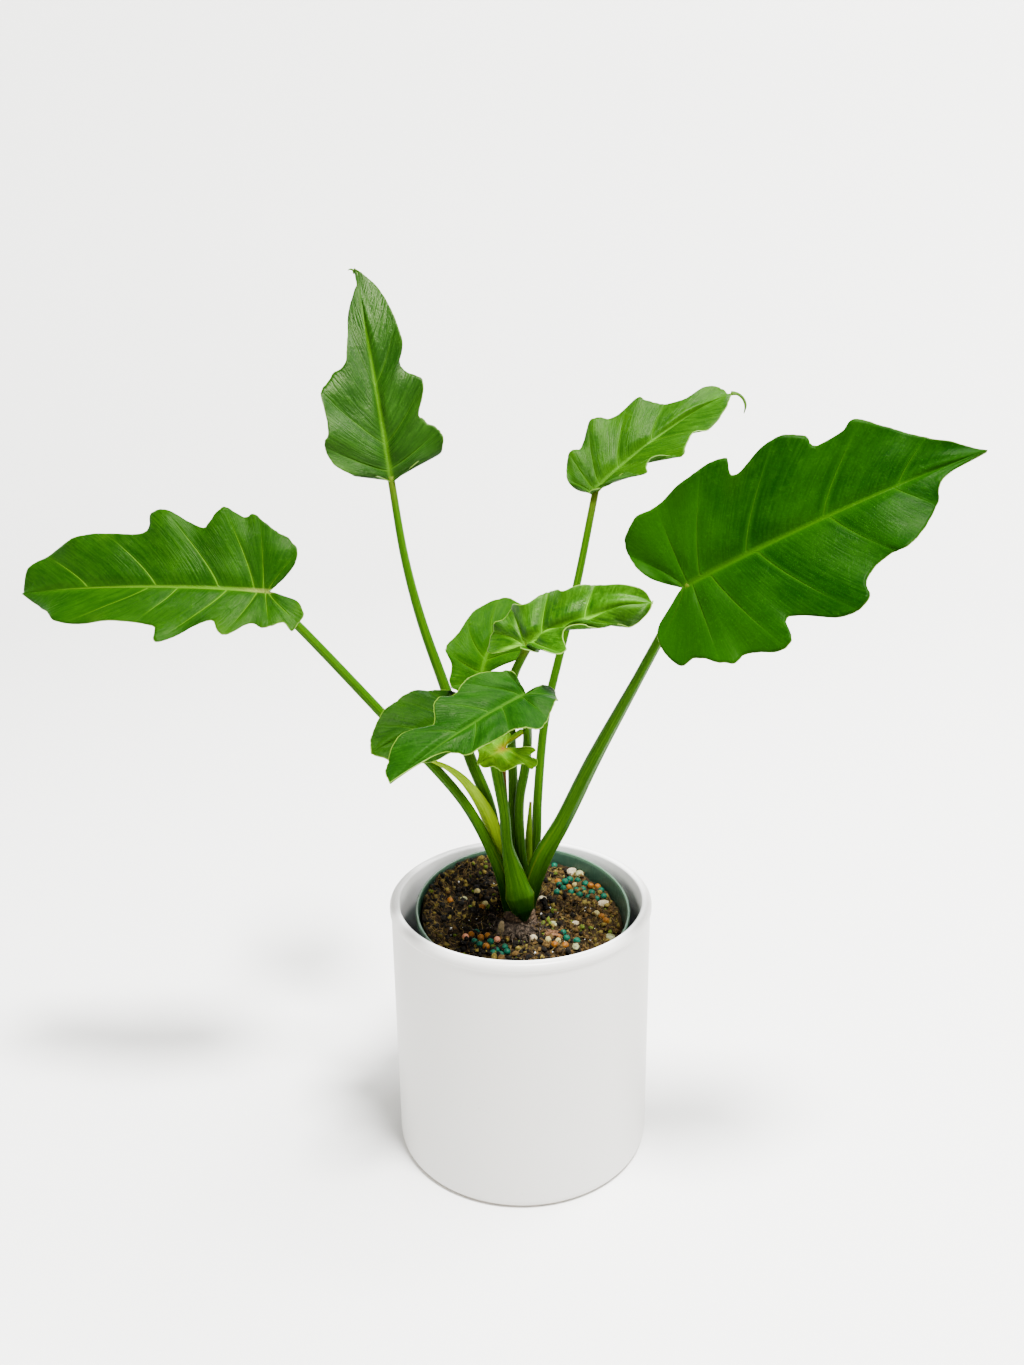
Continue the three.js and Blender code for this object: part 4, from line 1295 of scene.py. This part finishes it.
# Soil pieces


def soil_top(x, y):
    """The soil's surface as its solid has it."""
    plane = -SOIL["below_rim"] + SOIL["slope_across"] * x + SOIL["slope_back"] * y
    bumps = math.sin(x * 0.31 + 1.3) * math.cos(y * 0.27)
    bumps += 0.6 * math.sin(x * 0.71 + y * 0.53) + 0.4 * math.cos(x * 0.9 - y * 1.1)
    return plane + SOIL["relief"] * bumps


def banked(x, y):
    """The soil's surface, with the crust that climbs the pot's wall at the back left."""
    away = math.hypot(x, y) or 1
    toward = (BANK["toward"][0] * x + BANK["toward"][1] * y) / away
    climb = smooth(0.72, 1.0, away / soil_edge()) * smooth(0.3, 0.85, toward)
    return soil_top(x, y) + BANK["height"] * climb


def soil_edge():
    """The soil's outer radius where its surface is lowest."""
    body = NURSERY["rim_radius"] - NURSERY["flange"]
    share = SOIL["lowest"] / NURSERY["depth"]
    return lerp(body, NURSERY["base_radius"], share) - NURSERY["wall"]


def crumbled(x, y):
    """The soil's height with its crumbs."""
    where = Vector((x, y, 0))
    coarse = noise.fractal(where * 0.22, 0.6, 2.1, 4)
    fine = abs(noise.noise(where * 1.1)) + 0.5 * abs(noise.noise(where * 2.3))
    return banked(x, y) + 1.2 * coarse + 1.0 * fine - 0.3


def add_soil_body():
    """The body of soil. Its crumbly top takes up most of the rows, its side and base the rest."""
    edge = soil_edge() + 0.35
    bottom = -NURSERY["depth"] + NURSERY["floor"] + 0.3
    low = NURSERY["base_radius"] - NURSERY["wall"] - 0.3
    bm = bmesh.new()
    top_share = 0.86

    def place(u, v):
        angle = math.tau * (u % 1)
        if v <= top_share:
            radius = edge * v / top_share
            x, y = radius * math.cos(angle), radius * math.sin(angle)
            height = crumbled(x, y)
        else:
            down = (v - top_share) / (1 - top_share)
            side = min(1, down * 1.6)
            radius = lerp(edge, low, side) * (1 - smooth(0.7, 1, down))
            x, y = radius * math.cos(angle), radius * math.sin(angle)
            rim = crumbled(edge * math.cos(angle), edge * math.sin(angle))
            height = lerp(rim, bottom, side)
        return LEAN @ Vector((x, y, height)), {}

    add_grid(bm, *CELLS["soil"], place)
    add_piece("soil_bed", bm, [earth_finish("potting_soil")], ["soil"])


def add_lump(bm, size, x, y, turn, sunk, detail, rough, index):
    """A rounded or jagged bit that lies in the soil's surface."""
    spot = LEAN @ Matrix.Translation((x, y, banked(x, y) + size[2] * sunk))
    matrix = spot @ Matrix.Rotation(turn, 4, "Z") @ Matrix.Diagonal((*size, 1))
    verts = bmesh.ops.create_icosphere(bm, subdivisions=detail, radius=1)["verts"]
    for vert in verts:
        shift = 1 + rough * noise.noise(vert.co * 1.7 + Vector((x, y, turn)))
        vert.co = (matrix @ (vert.co * shift)) * MM
    for face in {face for vert in verts for face in vert.link_faces}:
        face.material_index = index


def add_prills():
    """Heaps of round prills that lie side by side."""
    bm = bmesh.new()
    chooser = random.Random(SEEDS["prills"])
    placed = [pebble["at"] for pebble in PEBBLES]
    for heap in PRILL_HEAPS:
        turn = Matrix.Rotation(math.radians(heap["turn"]), 2)
        left, tries = heap["count"], 4000
        while left and tries:
            tries -= 1
            angle, reach = chooser.uniform(0, math.tau), math.sqrt(chooser.random())
            away = Vector((math.cos(angle) * heap["reach"][0], math.sin(angle) * heap["reach"][1]))
            x, y = Vector(heap["at"]) + turn @ (away * reach)
            if any(math.hypot(x - a, y - b) < PRILL_RADIUS * 1.95 for a, b in placed):
                continue
            placed.append((x, y))
            left -= 1
            radius = PRILL_RADIUS * chooser.uniform(0.9, 1.08)
            kind = chooser.choices(range(len(PRILLS)), heap["kinds"])[0]
            add_lump(bm, (radius,) * 3, x, y, angle, 0.45, 3, 0.05, kind)
    add_piece("fertiliser_prills", bm, small_finishes(PRILLS))


def add_pebbles():
    """Cream and olive pebbles by turns, and the chunk of bark."""
    bm = bmesh.new()
    for i, pebble in enumerate(PEBBLES):
        x, y = pebble["at"]
        add_lump(bm, pebble["size"], x, y, x, 0.2, 4, 0.22, i % 2)
    x, y = BARK_CHUNK["at"]
    add_lump(bm, BARK_CHUNK["size"], x, y, math.radians(BARK_CHUNK["turn"]), 0.2, 4, 0.5, 2)
    add_piece("pebbles", bm, small_finishes(STONES))


def scattered(chooser, reach):
    """A place on the soil, as likely in one part of it as in another."""
    angle = chooser.uniform(0, math.tau)
    radius = reach * math.sqrt(chooser.random())
    return radius * math.cos(angle), radius * math.sin(angle)


# How many small bodies are made before they join the rest

BATCH = 60

# How likely a crumb is to be perlite or mossy, next to 1 for black and brown together

CRUMB_PERLITE = 0.035
CRUMB_MOSS = 0.06

# How likely a fibre is to be brown, gold or black, on the soil and along its left edge, and
# which share of them lies along that edge

FIBRES_ON_TOP = (0.5, 0.3, 0.2)
FIBRES_AT_EDGE = (0.3, 0.6, 0.1)
EDGE_SHARE = 0.35


def gathered(count, add_one):
    """One body out of many small ones, made a batch at a time."""
    bm = new_mesh(TUBE_VALUES)
    for start in range(0, count, BATCH):
        batch = new_mesh(TUBE_VALUES)
        for _ in range(start, min(count, start + BATCH)):
            add_one(batch)
        close_ends(batch)
        bmesh.ops.recalc_face_normals(batch, faces=batch.faces)
        mesh = bpy.data.meshes.new("batch")
        batch.to_mesh(mesh)
        batch.free()
        bm.from_mesh(mesh)
        bpy.data.meshes.remove(mesh)
    return bm


def add_crumbs(count):
    """Loose crumbs: more brown toward the right, and more gold there and near the wall."""
    chooser = random.Random(SEEDS["crumbs"])
    reach = soil_edge() - 0.8
    perlite = list(CRUMBS).index("perlite")

    def add_one(batch):
        x, y = scattered(chooser, reach)
        brown = min(0.9, max(0.05, 0.3 + x / 50))
        gold = 0.06 + 0.3 * smooth(0.7, 1, math.hypot(x, y) / reach) + 0.1 * smooth(-10, 20, x)
        likely = (1.0 - brown, brown, gold, CRUMB_PERLITE, CRUMB_MOSS)
        kind = chooser.choices(range(len(CRUMBS)), likely)[0]
        size = 0.3 + (0.5 if kind == perlite else 1.3) * chooser.random() ** 3
        stretch = [size * chooser.uniform(0.6, 1.4) for _ in range(3)]
        add_lump(batch, stretch, x, y, chooser.uniform(0, 6.28), 0.55, 1, 0.9, kind)

    bm = gathered(count, add_one)
    add_piece("soil_crumbs", bm, small_finishes(CRUMBS), weld=False)


def add_fibres(count):
    """Peat and coir threads that lie on the soil, thickest along its left edge."""
    chooser = random.Random(SEEDS["fibres"])
    reach = soil_edge() - 1

    def add_one(batch):
        kind = chooser.choices(range(len(FIBRES)), FIBRES_ON_TOP)[0]
        if chooser.random() < EDGE_SHARE:
            angle = chooser.uniform(math.radians(95), math.radians(265))
            radius = reach * chooser.uniform(0.86, 1.0)
            x, y = radius * math.cos(angle), radius * math.sin(angle)
            kind = chooser.choices(range(len(FIBRES)), FIBRES_AT_EDGE)[0]
        else:
            x, y = scattered(chooser, reach)
        rise = chooser.uniform(0, 0.9)
        length = chooser.uniform(1.5, 5.5)
        points = thread(chooser, x, y, length, 0.9, rise, reach)
        width = chooser.uniform(0.07, 0.2)
        before = len(batch.faces)
        widths = [width, width, width, width * 0.5]
        sweep(batch, "fibre", points, widths, (0.1, 0.2, 1), (0.7, 0.7))
        colour_from(batch, before, kind)

    bm = gathered(count, add_one)
    add_piece("soil_fibres", bm, small_finishes(FIBRES), weld=False)


def colour_from(bm, before, kind):
    """Gives the faces past the first ones, which were there before, a finish by its number."""
    bm.faces.ensure_lookup_table()
    for face in bm.faces[before:]:
        face.material_index = kind


def thread(chooser, x, y, length, above, rise, reach):
    """Four points of a bent thread that starts at x, y and arches over the soil."""
    heading, points = chooser.uniform(0, math.tau), []
    for k in range(4):
        away = math.hypot(x, y)
        if away > reach:
            x, y = x * reach / away, y * reach / away
        height = banked(x, y) + above + rise * math.sin(math.pi * (0.1 + 0.8 * k / 3))
        points.append(LEAN @ Vector((x, y, height)))
        x += length / 3 * math.cos(heading)
        y += length / 3 * math.sin(heading)
        heading += chooser.uniform(-0.6, 0.6)
    return points


def add_root_mass():
    """The matted roots in front of the crown, and the dry stub of an old stalk."""
    roots = earth_finish("roots")
    bm = bmesh.new()
    chooser = random.Random(SEEDS["roots"])
    for _ in range(60):
        x, y = chooser.gauss(-4, 4.4), chooser.gauss(-7, 2.8)
        size = [chooser.uniform(0.8, 2.4) for _ in range(3)]
        add_lump(bm, size, x, y, chooser.uniform(0, 6), 0.15, 3, 1.1, 0)
    add_piece("root_mass", bm, [roots])

    def add_one(batch):
        x, y = chooser.gauss(-3.5, 5.2), chooser.gauss(-6.5, 3.2)
        rise, length = chooser.uniform(0.5, 3.2), chooser.uniform(2, 7)
        points = thread(chooser, x, y, length, 0.8, rise, 40)
        width = chooser.uniform(0.12, 0.36)
        widths = [width, width, width, width * 0.4]
        sweep(batch, "root", points, widths, (0.1, 0.2, 1), (0.8, 0.8))

    bm = gathered(260, add_one)
    stub = [(-10.7, -11.8, -10), (-10.6, -11.7, -6), (-10.3, -11.5, -3.5), (-9.9, -11.2, -1.5)]
    route = [LEAN @ Vector(p) for p in stub]
    before = len(bm.faces)
    sweep(bm, "stub", route, [1.7, 1.6, 1.5, 0.9], (0.1, -1, 0), (0.7, 0.8))
    colour_from(bm, before, 1)
    close_ends(bm)
    add_piece("root_fibres", bm, [roots, small_finish("dry_stub", *DRY_STUB)])


# Properties


class PlantSizes(bpy.types.PropertyGroup):
    blade_thickness: bpy.props.FloatProperty(
        name="Blade thickness", description="Thickness of the leaf blades",
        default=0.00045, min=0.0002, max=0.0009, unit="LENGTH",
    )
    crumbs: bpy.props.IntProperty(
        name="Soil crumbs", description="How many loose crumbs lie on the soil",
        default=3600, min=0, max=6000,
    )
    fibres: bpy.props.IntProperty(
        name="Soil fibres", description="How many peat fibres lie on the soil",
        default=1500, min=0, max=2000,
    )


class PlantColours(bpy.types.PropertyGroup):
    glaze: bpy.props.FloatVectorProperty(
        name="Glaze", description="Colour of the ceramic pot's glaze",
        default=(0.455, 0.447, 0.425), size=3, subtype="COLOR", min=0, max=1,
    )
    plastic: bpy.props.FloatVectorProperty(
        name="Plastic", description="Colour of the nursery pot",
        default=(0.008, 0.027, 0.015), size=3, subtype="COLOR", min=0, max=1,
    )
    backdrop: bpy.props.FloatVectorProperty(
        name="Backdrop", description="Colour of the floor and the wall behind",
        default=(0.62, 0.617, 0.60), size=3, subtype="COLOR", min=0, max=1,
    )


# Operators


class PLANT_OT_ceramic_pot(bpy.types.Operator):
    """Model the white ceramic pot"""

    bl_idname = "plant.ceramic_pot"
    bl_label = "Ceramic pot"

    def execute(self, context):
        radius, height = CERAMIC["radius"], CERAMIC["height"]
        inner, lip = radius - CERAMIC["wall"], radius + LIP["proud"]
        profile = rounded([
            (0, FOOT["raised"], 0), (radius - FOOT["slope_from"], FOOT["raised"], 0.8),
            (radius - FOOT["ring"], 0, 0.5), (radius - CERAMIC["foot_round"], 0, 1.0),
            (radius, CERAMIC["foot_round"], 2.4),
            (radius, height - LIP["starts"], 0.5), (lip, height - LIP["full"], 0.7),
            (lip, height, LIP["rounding"]), (inner, height, 1.4), (inner, height - 12, 2.0),
            (inner, CERAMIC["floor"], 4), (0, CERAMIC["floor"], 0),
        ])
        bm = spun(profile, SPUN_STEPS["ceramic"])
        finish = glaze_finish(tuple(context.scene.plant_colours.glaze))
        add_piece("glazed_pot", bm, [finish], ["ceramic_pot"])
        return {"FINISHED"}


class PLANT_OT_nursery_pot(bpy.types.Operator):
    """Model the green nursery pot that leans in the ceramic one"""

    bl_idname = "plant.nursery_pot"
    bl_label = "Nursery pot"

    def execute(self, context):
        rim, base, wall = NURSERY["rim_radius"], NURSERY["base_radius"], NURSERY["wall"]
        body = rim - NURSERY["flange"]
        drop = -NURSERY["flange_drop"]
        bottom = -NURSERY["depth"]
        profile = rounded([
            (0, bottom, 0), (base - NURSERY["base_round"], bottom, 0), (base, bottom + 1, 0.5),
            (body - 0.1, drop - 0.8, 0.3), (rim - 0.1, drop, 0.3), (rim, -0.4, 0.3),
            (rim - 0.5, 0, 0.2), (rim - wall, -0.3, 0.2), (body - wall, drop - 1.6, 0.8),
            (base - wall, bottom + NURSERY["floor"], 1.0), (0, bottom + NURSERY["floor"], 0),
        ], 3)
        bm = spun(profile, SPUN_STEPS["nursery"])
        to_mm, to_metres = Matrix.Diagonal((1 / MM,) * 3 + (1,)), Matrix.Diagonal((MM,) * 3 + (1,))
        for matrix in (to_mm, LEAN, to_metres):
            bmesh.ops.transform(bm, verts=bm.verts, matrix=matrix)
        finish = plastic_finish(tuple(context.scene.plant_colours.plastic))
        add_piece("plastic_pot", bm, [finish], ["nursery_pot"])
        return {"FINISHED"}


class PLANT_OT_soil(bpy.types.Operator):
    """Model the soil with its crumbs, fibres, prills and pebbles"""

    bl_idname = "plant.soil"
    bl_label = "Soil"

    def execute(self, context):
        sizes = context.scene.plant_sizes
        add_soil_body()
        add_crumbs(sizes.crumbs)
        add_fibres(sizes.fibres)
        add_prills()
        add_pebbles()
        return {"FINISHED"}


class PLANT_OT_crown(bpy.types.Operator):
    """Model the brown stem base that the stalks grow from, and its roots"""

    bl_idname = "plant.crown"
    bl_label = "Stem base"

    def execute(self, context):
        bm = bmesh.new()
        radius, soil_line, top = CROWN["radius"], CROWN["soil_line"], CROWN["top"]
        centre = Vector((CROWN["x"], CROWN["y"], 0))
        heights = [CROWN["bottom"], soil_line - 4, soil_line, top - 3, top]
        widths = [radius * 0.7, radius * 0.95, radius, radius * 0.85, radius * 0.45]

        def place(u, v):
            angle = math.tau * (u % 1)
            height = from_table(heights, v * 4)
            width = from_table(widths, v * 4)
            where = Vector((math.cos(angle) * 2.2, math.sin(angle) * 2.2, height * 0.35))
            rough = 0.55 * noise.fractal(where, 0.7, 2.2, 4) + 0.25 * math.sin(height * 2.6)
            out = width + rough
            return centre + Vector((out * math.cos(angle), out * math.sin(angle), height)), {}

        add_grid(bm, *CELLS["crown"], place)
        close_ends(bm)
        add_piece("stem_base", bm, [earth_finish("stem_base")], ["crown"])
        add_root_mass()
        return {"FINISHED"}


class PLANT_OT_leaves(bpy.types.Operator):
    """Model the nine leaf blades, their ribs and the threads at two tips"""

    bl_idname = "plant.leaves"
    bl_label = "Leaves"

    def execute(self, context):
        thickness = context.scene.plant_sizes.blade_thickness
        finishes = {}
        for key in LEAF_COLOURS:
            finishes[key] = (leaf_upper(key), leaf_under(key), leaf_rim(key))
        rib = stalk_finish("leaf_ribs")
        for i, (name, spec) in enumerate(BLADES.items()):
            seed = i * 0.37
            add_blade(name, finishes[spec["finish"]], thickness, seed)
            add_ribs(name, rib, seed)
        for name, spec in TIP_THREADS.items():
            bm = new_mesh(TUBE_VALUES)
            route = [Vector(p) for p in spec["route"]]
            sweep(bm, "tip_thread", route, spec["half_widths"], (0, -1, 0.3), (0.5, 0.6))
            close_ends(bm)
            add_piece(name, bm, [rib])
        return {"FINISHED"}


class PLANT_OT_stalks(bpy.types.Operator):
    """Model the leaf stalks"""

    bl_idname = "plant.stalks"
    bl_label = "Stalks"

    def execute(self, context):
        green, red = stalk_finish("stalk_green"), stalk_finish("stalk_red")
        for name, spec in STALKS.items():
            finish = red if name in RED_STALKS else green
            add_stalk(name, spec, finish, stalk_section)
        return {"FINISHED"}


class PLANT_OT_scale_leaves(bpy.types.Operator):
    """Model the two scale leaves among the stalks"""

    bl_idname = "plant.scale_leaves"
    bl_label = "Scale leaves"

    def execute(self, context):
        for name, spec in CATAPHYLLS.items():
            add_stalk(name, spec, stalk_finish(spec["finish"]), keeled_section)
        return {"FINISHED"}


# Camera: place, focal length and sensor height in mm, pitch and roll in degrees

CAMERA = {
    "at": (-2.8, -510.8, 407.5), "pitch": 18.23, "roll": -0.739, "lens": 31.147, "sensor": 36,
}

# Floor: the radius of its flat middle, then the radius of its bend and the wall above that

FLOOR = {"flat": 1200, "bend": 800, "wall": 500}

# Lights, in metres and watts: where each one is, where it points, its size and its power

LIGHTS = {
    "Key": {"at": (0.29, -0.46, 2.1), "aim": (0, 0, 0.2), "size": 0.35, "power": 285},
    "Ceiling": {"at": (1.0, -0.2, 2.0), "aim": (0, 0, 0.2), "size": 1.4, "power": 82},
    "Wall wash": {"at": (0.9, 0.6, 1.9), "aim": (0.9, 1.9, 0.6), "size": 0.8, "power": 120},
}
SURROUNDING_LIGHT = 0.42


class PLANT_OT_stage(bpy.types.Operator):
    """Set up the camera, the lights and the pale floor"""

    bl_idname = "plant.stage"
    bl_label = "Stage"

    def execute(self, context):
        self.add_floor(tuple(context.scene.plant_colours.backdrop))
        self.add_camera(context.scene)
        world = bpy.data.worlds.new("Studio")
        context.scene.world = world
        world.use_nodes = True
        sky = world.node_tree.nodes["Background"]
        sky.inputs["Color"].default_value = (1, 1, 1, 1)
        sky.inputs["Strength"].default_value = SURROUNDING_LIGHT
        for name, spec in LIGHTS.items():
            self.add_light(name, spec)
        return {"FINISHED"}

    def add_floor(self, colour):
        """A round floor that curves up to a low wall far away on every side."""
        flat, bend, wall = FLOOR["flat"], FLOOR["bend"], FLOOR["wall"]
        profile = [(flat * k / 6, 0) for k in range(7)]
        for k in range(1, 13):
            angle = math.pi / 2 * k / 12
            profile.append((flat + bend * math.sin(angle), bend * (1 - math.cos(angle))))
        profile.append((flat + bend, bend + wall))
        paint = Paint("floor")
        tone = paint.noise(1.5, 2)
        shade = paint.mix(tone * 0.3, colour, tuple(c * 0.97 for c in colour))
        finish = paint.finish(Base_Color=shade, Roughness=0.7)
        add_object("floor", spun(profile, SPUN_STEPS["floor"]), [finish])

    def add_camera(self, scene):
        data = bpy.data.cameras.new("Camera")
        data.lens = CAMERA["lens"]
        data.sensor_fit = "VERTICAL"
        data.sensor_height = CAMERA["sensor"]
        data.clip_start = 0.01
        camera = bpy.data.objects.new("Camera", data)
        pitch, roll = math.radians(CAMERA["pitch"]), math.radians(CAMERA["roll"])
        turn = Matrix.Rotation(math.pi / 2 - pitch, 4, "X") @ Matrix.Rotation(roll, 4, "Z")
        camera.matrix_world = Matrix.Translation(Vector(CAMERA["at"]) * MM) @ turn
        scene.collection.objects.link(camera)
        scene.camera = camera

    def add_light(self, name, spec):
        """A round lamp that faces its aim."""
        data = bpy.data.lights.new(name, "AREA")
        data.shape = "DISK"
        data.size = spec["size"]
        data.energy = spec["power"]
        light = bpy.data.objects.new(name, data)
        turn = (Vector(spec["aim"]) - Vector(spec["at"])).to_track_quat("-Z", "Y").to_matrix()
        light.matrix_world = Matrix.Translation(spec["at"]) @ turn.to_4x4()
        bpy.context.scene.collection.objects.link(light)


class PLANT_PT_panel(bpy.types.Panel):
    """The plant's sizes, colours and pieces"""

    bl_label = "Potted philodendron"
    bl_space_type = "VIEW_3D"
    bl_region_type = "UI"
    bl_category = "Plant"

    def draw(self, context):
        for group in (context.scene.plant_sizes, context.scene.plant_colours):
            for key in group.__annotations__:
                self.layout.prop(group, key)
        for operator in OPERATORS:
            self.layout.operator(operator.bl_idname)


OPERATORS = (
    PLANT_OT_ceramic_pot, PLANT_OT_nursery_pot, PLANT_OT_soil, PLANT_OT_crown,
    PLANT_OT_leaves, PLANT_OT_stalks, PLANT_OT_scale_leaves, PLANT_OT_stage,
)
CLASSES = (PlantSizes, PlantColours, *OPERATORS, PLANT_PT_panel)


def register():
    for cls in CLASSES:
        bpy.utils.register_class(cls)
    bpy.types.Scene.plant_sizes = bpy.props.PointerProperty(type=PlantSizes)
    bpy.types.Scene.plant_colours = bpy.props.PointerProperty(type=PlantColours)


def unregister():
    del bpy.types.Scene.plant_sizes
    del bpy.types.Scene.plant_colours
    for cls in reversed(CLASSES):
        bpy.utils.unregister_class(cls)


def main():
    register()
    for operator in OPERATORS:
        group, name = operator.bl_idname.split(".")
        getattr(getattr(bpy.ops, group), name)()


if __name__ == "__main__":
    main()
